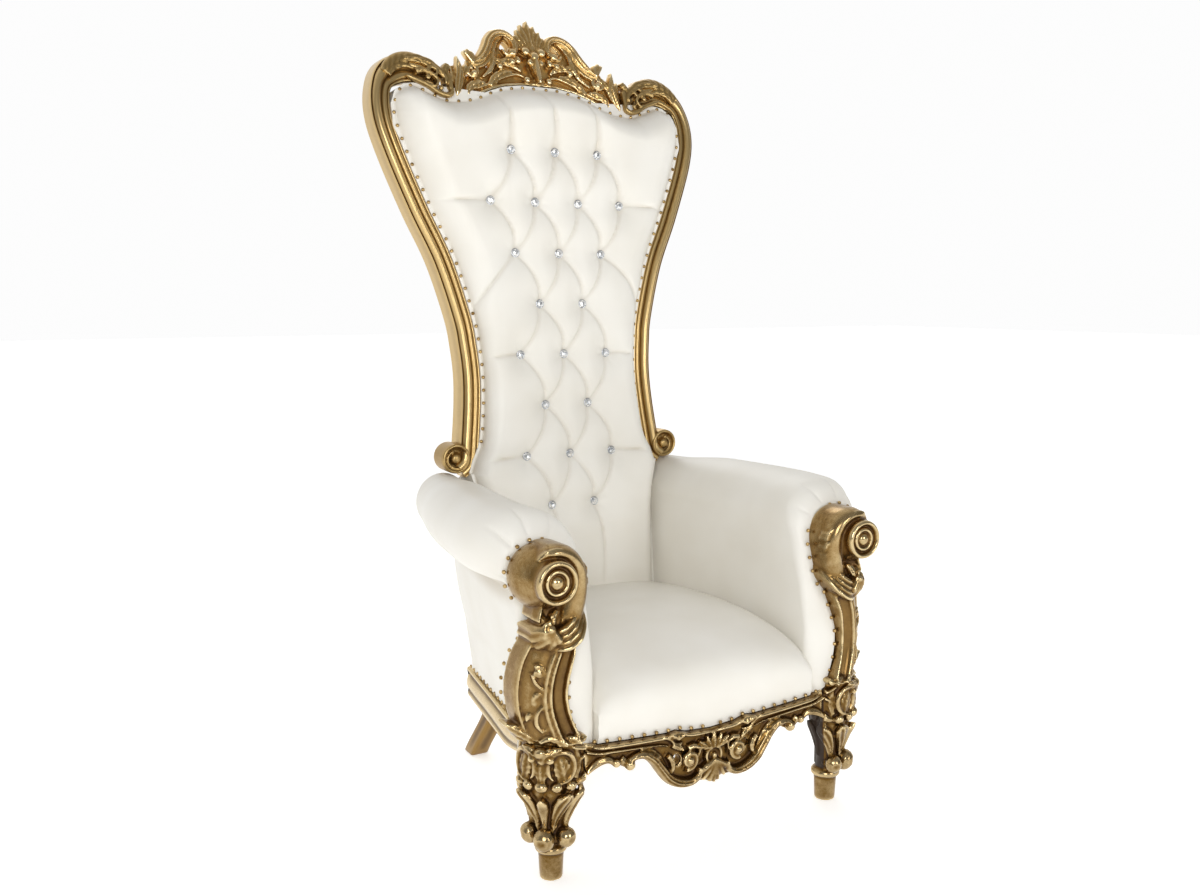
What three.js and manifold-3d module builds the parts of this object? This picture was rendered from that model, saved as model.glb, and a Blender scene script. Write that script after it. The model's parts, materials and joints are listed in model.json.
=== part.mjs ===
// A carved and gilded throne with a high buttoned back, padded roll arms and cabriole front legs.
// Millimetres: X across, Y from front to back, Z up, the floor at zero. Left is -X, seen from the front.
import * as THREE from 'three';
import { mergeVertices } from 'three/addons/utils/BufferGeometryUtils.js';
import Module from 'manifold-3d';

const wasm = await Module();
wasm.setup();

// ---- Driving dimensions -----------------------------------------------------------------------

const GAP = 0.3;                 // clearance between pieces that touch

// Back frame: its front face leans back, and sweeps further back towards the crest.
const FACE_Y = 597;              // front face of the frame at the height of the bottom volutes
const FACE_Z = 753;
const RAKE = 0.115;
const SWEEP = 0.00064;
const SWEEP_FROM = 1450;
const FRAME_DEPTH = 62;
const STILE_HALF = 24;           // half the width of a stile's face
const STILE_STEPS = 15;
const VOLUTE = { x: 294, z: 753, r: 36 };
const HOOK = { x: 263, z: 1638, ring: 17, r: 11 };
const JOINT_X = 237;             // where the crest meets the stiles
const CREST_TOP = 1830;
const EDGE_STEPS = 7;
const PAD_BACK = 44;             // back of the inside pad, behind the frame's face
const PANEL_BACK = 58;

// Deep buttoning: rows from the top down, with the number of buttons in each.
const TUFT_X = 119;
const TUFT_Z = 123;
const TOP_ROW_Z = 1487;
const ROWS = [3, 4, 3, 2, 3, 2, 3, 2];
const BUTTON_R = 11;
const BUTTON_THICK = 9;
const BUTTON_SIDES = 6;
const PILLOW = 22;               // how far the cushions stand in front of the buttons

// Seat and arms.
const RAIL_TOP = 228;
const SEAT_BOTTOM = 232;
const SEAT_NAILS = 274;          // height of the nails along the front of the seat
const SEAT_FRONT = -40;
const RAIL_BACK = -20;           // back plane of the apron
const ARM_FRONT = -34;
const ROLL_Z = 655;
const ROLL_R = 75;
const CREASE_Z = 582;
const POST_BACK = 20;            // back plane of the arm posts
const POST_MIDDLE = 382;

// Front legs, posts and apron.
const LEG_X = 352;
const LEG_TOP = 290;
const LEG_BACK = 52;             // back plane of the front legs, where the side rails start
const RAIL_END = 620;
const APRON_X = 300;             // where the apron meets the front legs
const SCROLL = { x: 374, z: 614, front: 50, back: 62, y: -92 };
const SHELL = { z: 190, r: 50 };

// ---- Solids -----------------------------------------------------------------------------------

/** Manifold solid from a closed geometry, turned the right way out. */
function solid(geometry) {
  const bare = geometry.clone();
  bare.deleteAttribute('normal');
  bare.deleteAttribute('uv');
  const merged = mergeVertices(bare, 1e-3);
  const at = merged.attributes.position.array;
  let tris = Array.from(merged.index.array);
  const clean = [];
  let volume = 0;
  for (let i = 0; i < tris.length; i += 3) {
    const [a, b, c] = tris.slice(i, i + 3);
    if (a === b || b === c || c === a) continue;
    clean.push(a, b, c);
    const [p, q, r] = [a, b, c].map((n) => new THREE.Vector3(at[3 * n], at[3 * n + 1], at[3 * n + 2]));
    volume += p.dot(q.cross(r));
  }
  if (volume < 0) clean.reverse();
  const mesh = new wasm.Mesh({
    numProp: 3,
    vertProperties: new Float32Array(at),
    triVerts: new Uint32Array(clean),
  });
  return new wasm.Manifold(mesh);
}

const fuse = (solids) => solids.reduce((whole, next) => whole.add(next));

/** Box between two corners. */
function block(x0, y0, z0, x1, y1, z1) {
  const box = new THREE.BoxGeometry(x1 - x0, y1 - y0, z1 - z0);
  return solid(box.translate((x0 + x1) / 2, (y0 + y1) / 2, (z0 + z1) / 2));
}

/** Moves every vertex of a geometry: place(x, y, z) gives its new [x, y, z]. */
function warp(geometry, place) {
  const at = geometry.attributes.position;
  for (let i = 0; i < at.count; i += 1) {
    at.setXYZ(i, ...place(at.getX(i), at.getY(i), at.getZ(i)));
  }
  return geometry;
}

/** Solid skinned over rings: ring(way) gives the loop of points at way = 0 to 1. */
function loft(steps, ring) {
  const rings = Array.from({ length: steps + 1 }, (_, i) => ring(i / steps));
  const sides = rings[0].length;
  const tube = new THREE.CylinderGeometry(1, 1, 1, sides, steps);
  warp(tube, (x, y, z) => {
    const loop = rings[Math.round((0.5 - y) * steps)];
    if (Math.hypot(x, z) < 0.5) {
      return [0, 1, 2].map((axis) => loop.reduce((sum, p) => sum + p[axis], 0) / sides);
    }
    const turn = Math.round((Math.atan2(x, z) / (2 * Math.PI)) * sides);
    return loop[(turn + sides) % sides];
  });
  return solid(tube);
}

/** Prism of an outline drawn in X and Z, between two depths given as functions of x and z. */
function plate(outline, front, back, holes = []) {
  const shape = new THREE.Shape(outline.map(([x, z]) => new THREE.Vector2(x, z)));
  for (const hole of holes) shape.holes.push(hole);
  const prism = new THREE.ExtrudeGeometry(shape, { depth: 1, bevelEnabled: false, curveSegments: 3 });
  return solid(warp(prism, (x, z, t) => [x, t < 0.5 ? front(x, z) : back(x, z), z]));
}

/** Points along a smooth curve through the given [x, z] points. */
function smooth(points, count) {
  const curve = new THREE.SplineCurve(points.map(([x, z]) => new THREE.Vector2(x, z)));
  return curve.getSpacedPoints(count).map((p) => [p.x, p.y]);
}

/** Where a curve stands at way = 0 to 1, with its direction. */
function follow(points) {
  const curve = new THREE.SplineCurve(points.map(([x, z]) => new THREE.Vector2(x, z)));
  return (way) => {
    const at = curve.getPointAt(way);
    const to = curve.getTangentAt(way);
    return { x: at.x, z: at.y, tx: to.x, tz: to.y };
  };
}

const mix = (a, b, t) => a + (b - a) * t;
const ease = (t) => t * t * (3 - 2 * t);
const clamp = (t) => Math.min(1, Math.max(0, t));
const mirror = (one) => one.mirror([1, 0, 0]);

// ---- Back frame -------------------------------------------------------------------------------

/** Front face of the back frame at height z. */
function faceY(z) {
  const above = Math.max(0, z - SWEEP_FROM);
  return FACE_Y + RAKE * (z - FACE_Z) + SWEEP * above * above;
}

/** Centre line of the right stile, from its volute up and over the shoulder. */
const STILE_LINE = [
  [283, 724], [262, 745], [253, 800], [244, 880], [241, 950], [246, 1020], [257, 1090], [296, 1222],
  [350, 1343], [403, 1480], [421, 1560], [412, 1625], [380, 1660], [338, 1670], [300, 1660], [270, 1640],
];

/** Front moulding of a stile: across from the outer edge, and the depth behind the face. */
const STILE_PROFILE = [
  [-1, 1], [-1, 0.2], [-0.7, 0.02], [-0.16, 0.02], [0.24, 0.22], [0.64, 0.26], [0.8, 0.12], [1, 1],
];

function stileHalf(way) {
  const shoulder = ease(clamp((way - 0.84) / 0.06)) * (1 - ease(clamp((way - 0.95) / 0.05)));
  return STILE_HALF * (1 + 0.4 * shoulder) - 5 * ease(clamp((way - 0.95) / 0.05));
}

/** Disc with a rim, a hollow and a boss, facing -Y: a volute seen from the front. */
function rosette(x, y, z, radius, depth, back = radius, sides = 10) {
  const profile = [
    [0, 0], [back, 0], [radius, 0.88], [radius * 0.84, 1], [radius * 0.56, 0.84], [radius * 0.4, 0.96],
    [0, 1.04],
  ];
  const points = profile.map(([r, h]) => new THREE.Vector2(r, h * depth));
  const disc = new THREE.LatheGeometry(points, sides);
  return solid(warp(disc, (px, py, pz) => [x + px, y - py, z + pz]));
}

/** Round scroll: a tapering tube along a curve in X and Z, its radius going from r0 to r1. */
function scroll(points, r0, r1, depthOf, steps = 7, sides = 4) {
  const line = follow(points);
  return loft(steps, (way) => {
    const { x, z, tx, tz } = line(way);
    const r = mix(r0, r1, way);
    return Array.from({ length: sides }, (_, i) => {
      const turn = (2 * Math.PI * (i + 0.5)) / sides;
      const side = 1.15 * r * Math.cos(turn);
      const pz = z + tx * side;
      return [x - tz * side, depthOf(pz) - 1.15 * r * Math.sin(turn), pz];
    });
  });
}

/** Arc of a circle in X and Z, as points, with angles in degrees from +X towards +Z. */
function arc(x, z, r, from, to, count = 6) {
  return Array.from({ length: count + 1 }, (_, i) => {
    const turn = THREE.MathUtils.degToRad(mix(from, to, i / count));
    return [x + r * Math.cos(turn), z + r * Math.sin(turn)];
  });
}

/** Carved leaf along a curve: pointed at its tip, with a raised midrib. */
function leaf(points, width, rise, depthOf, steps = 2) {
  const line = follow(points);
  const across = [[-1, 0.2], [0, 1], [1, 0.2], [0, -0.8]];
  return loft(steps, (way) => {
    const { x, z, tx, tz } = line(way);
    const half = width * (0.12 + 0.88 * Math.sin(Math.PI * (0.25 + 0.72 * way)) ** 0.8);
    const high = rise * (0.35 + 0.65 * Math.sin(Math.PI * (0.2 + 0.75 * way)));
    return across.map(([u, h]) => {
      const pz = z + tx * half * u;
      return [x - tz * half * u, depthOf(pz) - high * h, pz];
    });
  });
}

function bead(x, y, z, r) {
  return solid(new THREE.IcosahedronGeometry(1.08 * r, 0).translate(x, y, z));
}

/** The right stile, with its volute, its leaf over the shoulder and its hooked end. */
function stile() {
  const line = follow(STILE_LINE);
  const rail = loft(STILE_STEPS, (way) => {
    const { x, z, tx, tz } = line(way);
    const half = stileHalf(way);
    return STILE_PROFILE.map(([u, depth]) => {
      const pz = z + tx * half * u;
      return [x - tz * half * u, faceY(pz) + depth * FRAME_DEPTH, pz];
    });
  });
  const volute = rosette(VOLUTE.x, faceY(VOLUTE.z) + FRAME_DEPTH, VOLUTE.z, VOLUTE.r, FRAME_DEPTH + 2, VOLUTE.r, 9);
  const ring = new THREE.TorusGeometry(HOOK.ring, HOOK.r, 4, 7);
  const hook = solid(warp(ring, (x, z, t) => [
    HOOK.x + x, faceY(HOOK.z + z) + 16 + t * 1.4, HOOK.z + z,
  ]));
  const shoulder = leaf(arc(338, 1606, 84, 36, 118), 15, 16, (z) => faceY(z) + 6, 3);
  return fuse([rail, volute, hook, shoulder])
    .subtract(block(0, 0, 1500, JOINT_X + GAP / 2, 1500, 1900));
}

// ---- Crest ------------------------------------------------------------------------------------

/** Lower edge of the crest, which is the top of the upholstery: half of it, from the middle out. */
const CREST_EDGE = [[0, 1655], [50, 1655], [100, 1647], [140, 1633], [170, 1619], [204, 1609], [245, 1604]];

/** Upper outline of the crest's pierced ground, from the joint to the middle. */
const CREST_GROUND = [
  [245, 1664], [228, 1690], [200, 1690], [176, 1706], [150, 1722], [118, 1752], [92, 1772], [60, 1776],
  [30, 1792], [0, 1812],
];

function crest() {
  const low = smooth(CREST_EDGE, EDGE_STEPS);
  const right = [...low, ...CREST_GROUND];
  const left = right.slice(1, -1).reverse().map(([x, z]) => [-x, z]);
  const holes = [-1, 1].flatMap((side) => [
    new THREE.Path().absellipse(side * 70, 1754, 12, 14, 0, 2 * Math.PI),
    new THREE.Path().absellipse(side * 190, 1672, 9, 11, 0, 2 * Math.PI),
  ]);
  const ground = plate([...right, ...left], (x, z) => faceY(z) + 14, (x, z) => faceY(z) + 44, holes);

  const on = (lift) => (z) => faceY(z) + 18 - lift;
  const side = fuse([
    scroll([[70, 1728], [46, 1748], [56, 1780], [88, 1782], [118, 1760], [138, 1722], [166, 1696]], 9, 14,
      on(10)),
    leaf([[60, 1786], [98, 1784], [128, 1756], [150, 1716]], 13, 18, on(14)),
    scroll([[150, 1694], [152, 1672], [170, 1668], [176, 1688], [192, 1712], [196, 1728]], 7, 10, on(8), 4),
    leaf([[214, 1620], [208, 1660], [228, 1718]], 13, 18, on(12)),
    leaf([[20, 1690], [66, 1692], [112, 1700]], 15, 18, on(12)),
    leaf([[12, 1746], [36, 1734], [66, 1712]], 12, 20, on(16)),
    leaf([[8, 1770], [26, 1788], [34, 1812]], 10, 16, on(12)),
    bead(57, faceY(1741) - 4, 1741, 11),
    bead(19, faceY(1742) - 8, 1744, 11),
  ]);
  const middle = [
    leaf([[0, 1764], [0, 1796], [0, CREST_TOP]], 17, 20, on(14)),
    leaf([[0, 1744], [0, 1706], [0, 1668]], 16, 26, on(18)),
    bead(0, faceY(1722) - 14, 1726, 12),
  ];
  const below = plate([...low, [245, 1500], [0, 1500]], () => 600, () => 1000);
  return fuse([ground, side, mirror(side), ...middle])
    .subtract(below.add(mirror(below)))
    .intersect(block(-JOINT_X + GAP / 2, 0, 1500, JOINT_X - GAP / 2, 1500, 1900));
}

// ---- Upholstery of the back -------------------------------------------------------------------

/** Half width of the inside back below the frame, where the arms lie against it. */
function lapX(z) {
  return 233 + 29 * clamp((z - 540) / 176) ** 2;
}

/** Band that a stile takes up, with its clearance, right through the depth of the back. */
function stileSpace() {
  const line = follow(STILE_LINE);
  return loft(STILE_STEPS, (way) => {
    const { x, z, tx, tz } = line(way);
    const half = stileHalf(way) + GAP;
    return [[-1, 300], [1, 300], [1, 1200], [-1, 1200]].map(([u, y]) => [x - tz * half * u, y, z + tx * half * u]);
  });
}

/** Prism of the upholstery inside the frame: lower gives the outline from the foot to the volutes. */
function insideFrame(lower) {
  const middle = STILE_LINE.filter(([, z], i) => i > 2 && i < 15 && z > 800);
  const top = smooth(CREST_EDGE, EDGE_STEPS).map(([x, z]) => [x, z - GAP]).reverse();
  const right = [[0, SEAT_BOTTOM], ...lower, ...middle, [292, 1612], [268, 1606], ...top];
  const outline = [...right, ...right.slice(1, -1).reverse().map(([x, z]) => [-x, z])];
  const space = stileSpace();
  return plate(outline, () => 300, () => 1200).subtract(space).subtract(mirror(space));
}

/** Everything behind a surface that follows the frame's face, set back by so much. */
function behind(setBack) {
  const sheet = new THREE.BoxGeometry(1200, 1, 1600, 1, 1, 6);
  return solid(warp(sheet, (x, t, z) => [x, t < 0 ? faceY(z + 1000) + setBack : 1100, z + 1000]));
}

/** Height of a button row above the floor. */
const rowZ = (row) => TOP_ROW_Z - row * TUFT_Z;

/** Depth of the buttons at height z. */
function buttonY(z) {
  const up = (Math.max(z, 520) - 1000) / 1000;
  return 606.7 + 110.1 * up - 46.4 * up * up - 0.1 * Math.max(0, 520 - z);
}

/** Every button as [row, number, x, z]. */
const BUTTONS = ROWS.flatMap((count, row) => Array.from({ length: count }, (_, i) => (
  [row + 1, i + 1, (i - (count - 1) / 2) * TUFT_X, rowZ(row)]
)));

/** Front of the inside back: cushions between the buttons, falling to the frame at the edges. */
function padFront(x, z) {
  const across = Math.cos((2 * Math.PI * x) / TUFT_X);
  const along = Math.cos((Math.PI * (z - TOP_ROW_Z)) / TUFT_Z);
  const tufted = clamp((250 - Math.abs(x)) / 60) * clamp((1560 - z) / 60) * clamp((z - 560) / 60);
  const full = PILLOW * clamp((z - 440) / 160);
  const pillow = full * (1 - tufted * (0.2 + 0.8 * ((1 + across * along) / 2) ** 2));
  const edge = clamp((Math.abs(x) - mix(150, 290, clamp((z - 1000) / 450))) / 100) * clamp((z - 640) / 100);
  const crown = clamp((z - 1560) / 100);
  return Math.min(buttonY(z) - pillow + 40 * ease(Math.max(edge, crown)), faceY(z) + 6);
}

function backPad() {
  const near = Array.from({ length: 9 }, (_, i) => (i - 4) * TUFT_X / 2);
  const across = [-440, -320, ...near, 320, 440];
  const tufted = Array.from({ length: 16 }, (_, i) => TOP_ROW_Z + ((i - 14) * TUFT_Z) / 2);
  const up = [SEAT_BOTTOM - 10, 430, 565, ...tufted, 1620, 1700];
  const slab = new THREE.BoxGeometry(2, 2, 2, across.length - 1, 1, up.length - 1);
  const cushion = solid(warp(slab, (u, v, w) => {
    const x = across[Math.round(((u + 1) / 2) * (across.length - 1))];
    const z = up[Math.round(((w + 1) / 2) * (up.length - 1))];
    return [x, v < 0 ? padFront(x, z) : 1000, z];
  }));
  const limit = insideFrame([[262, SEAT_BOTTOM], [262, 700], [250, 745]]);
  const pockets = BUTTONS.map(([, , x, z]) => {
    const hole = new THREE.CylinderGeometry(BUTTON_R + GAP, BUTTON_R + GAP, 60, BUTTON_SIDES);
    return solid(hole.translate(x, buttonY(z) - 30 + 2 + GAP, z));
  });
  const arm = armBody(GAP);
  return cushion.intersect(limit)
    .subtract(behind(PAD_BACK - 4))
    .subtract(arm.add(mirror(arm)))
    .subtract(fuse(pockets));
}

/** The flat covered outside of the back, with its lower part as wide as the arms. */
function backPanel() {
  return insideFrame([[262, SEAT_BOTTOM], [292, 560], [306, 690], [258, 700], [250, 745]])
    .intersect(behind(PAD_BACK))
    .subtract(behind(PANEL_BACK));
}

/** Cut crystal in its rim: a low disc with a bevelled front. */
function solidButton(x, z) {
  const r = BUTTON_R;
  const t = BUTTON_THICK;
  const profile = [[0, 0], [r, 0], [r, t * 0.5], [0, t]];
  const disc = new THREE.LatheGeometry(profile.map(([a, b]) => new THREE.Vector2(a, b)), BUTTON_SIDES);
  return solid(warp(disc, (px, py, pz) => [x + px, buttonY(z) + 2 - py, z + pz]));
}

// ---- Arms and seat ----------------------------------------------------------------------------

/** Inner face of an arm at depth y: nearest to the middle at the back. */
function armInner(y) {
  return mix(266, 233 + GAP, ease(clamp((y - 180) / 340)));
}

/** An arm's roll at depth y: its centre and its radius, smaller at both ends. */
function roll(y) {
  const back = ease(clamp((y - 400) / 190));
  const front = clamp((70 - y) / 84) ** 2;
  const x = y < 180 ? mix(372, 396, ease(clamp((y + 20) / 200))) : mix(396, 322, ((y - 180) / 440) ** 1.5);
  return { x, z: ROLL_Z - 5 * back, r: ROLL_R - 8.8 * back - 9 * front };
}

/** Prism whose outline changes along its length: ring(way) gives its points as [x, y, z]. */
function drawn(steps, ring) {
  const first = ring(0);
  const shape = new THREE.Shape(first.map(([x, , z]) => new THREE.Vector2(x, z)));
  const prism = new THREE.ExtrudeGeometry(shape, { depth: 1, steps, bevelEnabled: false });
  return solid(warp(prism, (px, pz, t) => {
    const i = first.findIndex(([x, , z]) => Math.hypot(x - px, z - pz) < 1e-3);
    return ring(t)[i];
  }));
}

/** The right arm's inner face, roll and outside panel, grown inwards by so much. */
function armBody(grow) {
  const depth = (z, way) => mix(ARM_FRONT, faceY(z) + PAD_BACK - 2, way);
  const inner = (z, y, over) => {
    const lean = (lapX(z) - 233) * ease(clamp((y - 180) / 340));
    return armInner(y) - grow + lean + over * (roll(y).x - armInner(y));
  };
  const outer = (z, y) => mix(mix(346, 262, y / 620), mix(416, 300, (y / 620) ** 1.3),
    (z - SEAT_BOTTOM) / (CREASE_Z - SEAT_BOTTOM));
  return drawn(7, (way) => [
    ...[[SEAT_BOTTOM, 0], [420, 0], [560, 0], [640, 0.03], [690, 0.16]].map(([z, over]) => {
      const y = depth(z, way);
      return [inner(z, Math.max(y, 0), over), y, z];
    }),
    ...[112, 80, 45, 10, -25, -60].map((angle) => {
      const turn = THREE.MathUtils.degToRad(angle);
      const y = depth(ROLL_Z + ROLL_R * Math.sin(turn), way);
      const { x, z, r } = roll(y);
      return [x + r * Math.cos(turn), y, z + r * Math.sin(turn)];
    }),
    ...[CREASE_Z, 460, 340, SEAT_BOTTOM].map((z) => {
      const y = depth(z, way);
      return [outer(z, Math.max(y, 0)), y, z];
    }),
  ]);
}

function armPad() {
  const legSpace = block(290, -200, 0, 620, LEG_BACK + GAP, LEG_TOP + GAP);
  return armBody(0).subtract(postFront(GAP).add(legSpace).add(apronSpace()));
}

/** Lower and upper outline of the apron: half of it, from the middle out and back. */
const APRON_LOW = [[0, 139], [28, 141], [62, 143], [86, 150], [106, 165], [124, 188], [148, 214], [174, 224],
  [190, 213], [206, 209], [218, 221], [238, 222], [252, 235], [278, 232], [300, 214]];
const APRON_HIGH = [[300, 278], [270, 269], [200, 264], [110, 259], [88, 262], [60, 254], [0, 250]];

/** Room for the apron under the front of the seat. */
function apronSpace() {
  const right = [[300, 100], ...APRON_HIGH.map(([x, z]) => [x, z + GAP])];
  const left = right.slice(0, -1).reverse().map(([x, z]) => [-x, z]);
  return plate([...right, ...left], () => -200, () => RAIL_BACK + GAP);
}

/** The seat, crowned, with a rolled front edge, between the arms and up to the inside back. */
function seatPad() {
  const ways = [0, 0.03, 0.1, 0.25, 0.45, 0.72, 1];
  const rise = [352, 392, 420, 434, 438, 430, 406];
  const box = new THREE.BoxGeometry(2, 1, 1, 6, 6, 2);
  const cushion = solid(warp(box, (u, v, w) => {
    const step = Math.round((v + 0.5) * 6);
    const top = rise[step] - 24 * Math.abs(u) ** 3 * Math.min(1, ways[step] * 8);
    const z = w < 0 ? SEAT_BOTTOM : mix(top, SEAT_NAILS, w < 0.25 ? 1 : 0);
    const front = w > 0.25 ? SEAT_FRONT - 8 : SEAT_FRONT;
    return [u * 268, mix(front, padFront(0, z) - GAP, ways[step]), z];
  }));
  const arm = armBody(GAP);
  return cushion.subtract(arm.add(mirror(arm))).subtract(apronSpace());
}

// ---- Carved posts and legs --------------------------------------------------------------------

/** Centre line of the right arm post, and half its width on the way up. */
const POST_LINE = [[358, 290], [370, 322], [380, 360], [382, 396], [376, 436], [364, 474], [344, 512],
  [328, 556], [322, 600], [332, 640], [360, 666], [386, 666]];
const POST_HALF = [52, 51, 52, 52, 51, 48, 34, 27, 23, 20, 18, 16];
const POST_PROFILE = [
  [-1, 20], [-0.96, -30], [-0.66, -28], [-0.16, -52], [0.2, -48], [0.56, -28], [0.84, -34], [1, 20],
];

/** How far the post turns outwards at height z: its depth grows by this share of the way from its middle. */
const postTurn = (z) => 0.5 * (1 - ease(clamp((z - 440) / 110)));

/** Everything in front of the right post's back surface, with so much clearance. */
function postFront(clear) {
  const box = new THREE.BoxGeometry(322, 400, 520, 1, 1, 10);
  return solid(warp(box, (x, y, z) => {
    const [px, pz] = [x + 459, z + 540];
    return [px, y < 0 ? -200 : POST_BACK + clear + postTurn(pz) * (px - POST_MIDDLE), pz];
  }));
}

function armPost() {
  const line = follow(POST_LINE);
  const last = POST_HALF.length - 1;
  const halfAt = (way) => {
    const i = Math.min(last - 1, Math.floor(way * last));
    return mix(POST_HALF[i], POST_HALF[i + 1], way * last - i);
  };
  const shaft = loft(9, (way) => {
    const { x, z, tx, tz } = line(way);
    const half = halfAt(way);
    const swell = 1 + 0.5 * ease(clamp((way - 0.45) / 0.3));
    return POST_PROFILE.map(([u, y]) => {
      const px = x - tz * half * u;
      const pz = Math.max(LEG_TOP + GAP, z + tx * half * u);
      return [px, (y < POST_BACK ? y * swell : y) + postTurn(pz) * (px - POST_MIDDLE), pz];
    });
  });
  const volute = rosette(SCROLL.x, POST_BACK, SCROLL.z, SCROLL.front, POST_BACK - SCROLL.y, SCROLL.back, 10);
  const fan = [-52, -12, 26].map((lean) => {
    const turn = THREE.MathUtils.degToRad(lean);
    const tip = [352 + 54 * Math.sin(turn) + 12, 522 - 56 * Math.cos(turn)];
    return leaf([[344, 540], [mix(344, tip[0], 0.55), mix(540, tip[1], 0.55)], tip], 18, 24, () => -48);
  });
  const curl = rosette(397, POST_BACK, 492, 17, 74, 17, 6);
  const vine = [
    scroll([[392, 452], [404, 420], [390, 392], [398, 360], [384, 332]], 5, 6, () => -46, 4),
    bead(402, -42, 436, 12),
  ];
  const leaves = [
    leaf([[396, 304], [420, 318], [446, 328]], 12, 18, () => -26),
  ];
  return fuse([shaft, volute, ...fan, curl, ...vine, ...leaves])
    .intersect(block(200, -200, LEG_TOP + GAP, 600, 200, 800))
    .intersect(postFront(0));
}

/** A front leg, modelled with its carved front facing -Y, then turned 45 degrees outwards. */
function frontLeg() {
  const foot = new THREE.LatheGeometry([
    [0, 0], [23, 0], [26, 54], [33, 60], [33, 70], [25, 76], [0, 76],
  ].map(([r, z]) => new THREE.Vector2(r, z)), 9).rotateX(Math.PI / 2);
  const shank = [
    [70, 25, -22, 22], [100, 30, -28, 22], [124, 32, -26, 22], [150, 40, -34, 26], [186, 51, -48, 36],
    [206, 56, -52, 40], [240, 60, -54, 42], [LEG_TOP, 56, -50, 42],
  ];
  const body = loft(shank.length - 1, (way) => {
    const [z, w, front, back] = shank[Math.round(way * (shank.length - 1))];
    const loop = [[-1, 0.7], [-0.7, 1], [0, 1.08], [0.7, 1], [1, 0.7], [1, -1], [-1, -1]];
    return loop.map(([u, v]) => [u * w, v > 0 ? v * front : -v * back, z]);
  });
  const ankle = new THREE.CylinderGeometry(17, 17, 86, 6).rotateZ(Math.PI / 2).translate(0, -14, 92);
  const bellY = (z) => -20 - 0.45 * Math.max(0, z - 120);
  const bell = [-34, 0, 34].map((x) => (
    leaf([[x * 0.6, 112], [x * 0.8, 150], [x * 1.2, 188]], 17, 16, bellY)
  ));
  const ring = [-60, 0, 60].map((angle) => {
    const turn = THREE.MathUtils.degToRad(angle);
    return bead(56 * Math.sin(turn), -52 * Math.cos(turn) + 2, 206, 16);
  });
  const cartouche = [
    solid(new THREE.SphereGeometry(1, 6, 4).scale(24, 12, 34).translate(0, -56, 244)),
    bead(0, -54, 280, 11),
  ];
  const eyes = [-1, 1].map((side) => bead(side * 54, -24, 190, 14));
  const leg = fuse([solid(foot), body, solid(ankle), bead(0, -30, 90, 17), ...bell, ...ring, ...cartouche, ...eyes]);
  return leg.rotate([0, 0, 45])
    .translate([LEG_X, 0, 0])
    .intersect(block(APRON_X + GAP / 2, -200, 0, 600, LEG_BACK, LEG_TOP));
}

// ---- Rails and back legs ----------------------------------------------------------------------

function frontRail() {
  const right = [...APRON_LOW, ...APRON_HIGH];
  const left = right.slice(1, -1).reverse().map(([x, z]) => [-x, z]);
  const holes = [-1, 1].map((side) => new THREE.Path().absellipse(side * 84, 198, 9, 11, 0, 2 * Math.PI));
  const ground = plate([...right, ...left], () => -48, () => RAIL_BACK, holes);
  const on = (y) => () => y;
  const side = fuse([
    scroll([[300, 214], [282, 230], [258, 236], [236, 227]], 6, 9, on(-46), 3, 4),
    scroll([[206, 216], [178, 228], [150, 220], [124, 190], [104, 164], [72, 151], [44, 160], [36, 180]],
      8, 12, on(-47)),
    bead(203, -46, 215, 12),
    rosette(62, -20, 194, 21, 42, 21, 8),
    leaf([[16, 218], [44, 240], [88, 244]], 13, 16, on(-44)),
  ]);
  const shell = [-50, 0, 50].map((angle) => {
    const turn = THREE.MathUtils.degToRad(angle);
    const tip = [SHELL.r * 1.1 * Math.sin(turn), SHELL.z - SHELL.r * 1.1 * Math.cos(turn)];
    return leaf([[0, SHELL.z], [tip[0] * 0.5, mix(SHELL.z, tip[1], 0.5)], tip], 18, 16, on(-46), 2);
  });
  const plume = [-24, 24].map((angle) => {
    const turn = THREE.MathUtils.degToRad(angle);
    const tip = [58 * Math.sin(turn), SHELL.z + 58 * Math.cos(turn)];
    return leaf([[0, SHELL.z], [tip[0] * 0.4, mix(SHELL.z, tip[1], 0.5)], tip], 14, 16, on(-46), 2);
  });
  const heart = rosette(0, -20, SHELL.z, 22, 46, 22, 8);
  return fuse([ground, side, mirror(side), ...shell, ...plume, heart])
    .intersect(block(-APRON_X + GAP / 2, -200, 0, APRON_X - GAP / 2, RAIL_BACK, 400));
}

/** Outer face of the right side rail at depth y. */
const railX = (y) => mix(352, 266, (y - LEG_BACK) / (RAIL_END - LEG_BACK));

function sideRail() {
  const moulding = [[-32, 0], [-32, 1], [-4, 1], [0, 0.84], [-7, 0.62], [1, 0.34], [-6, 0]];
  return loft(6, (way) => {
    const y = mix(LEG_BACK + GAP, RAIL_END, way);
    const low = 152 + 52 * (1 - ease(clamp((y - 60) / 260)));
    return moulding.map(([across, up]) => [railX(y) + across, y, mix(low, RAIL_TOP, up)]);
  });
}

function backLeg() {
  return loft(5, (way) => {
    const z = 225 * (1 - way);
    const splay = clamp((150 - z) / 150);
    const x = 216 + 25 * ease(splay);
    const y = 553 + 77 * splay ** 1.3;
    return [[-1, -1], [1, -1], [1, 1], [-1, 1]].map(([u, v]) => [x + u * 23, y + v * 24, z]);
  });
}

const backRail = () => block(-233, 590, 165, 233, 616, 225);

// ---- The throne -------------------------------------------------------------------------------

const gilt = { color: 0xb5924f, roughness: 0.36, metalness: 0.85 };
const giltDark = { color: 0x8a6a35, roughness: 0.42, metalness: 0.75 };
const mahogany = { color: 0x3a1d12, roughness: 0.45, metalness: 0 };
const leather = { color: 0xece8e0, roughness: 0.48, metalness: 0 };
const crystal = { color: 0xe6ecf0, roughness: 0.05, metalness: 0.1 };

const throne = new THREE.Group();

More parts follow.
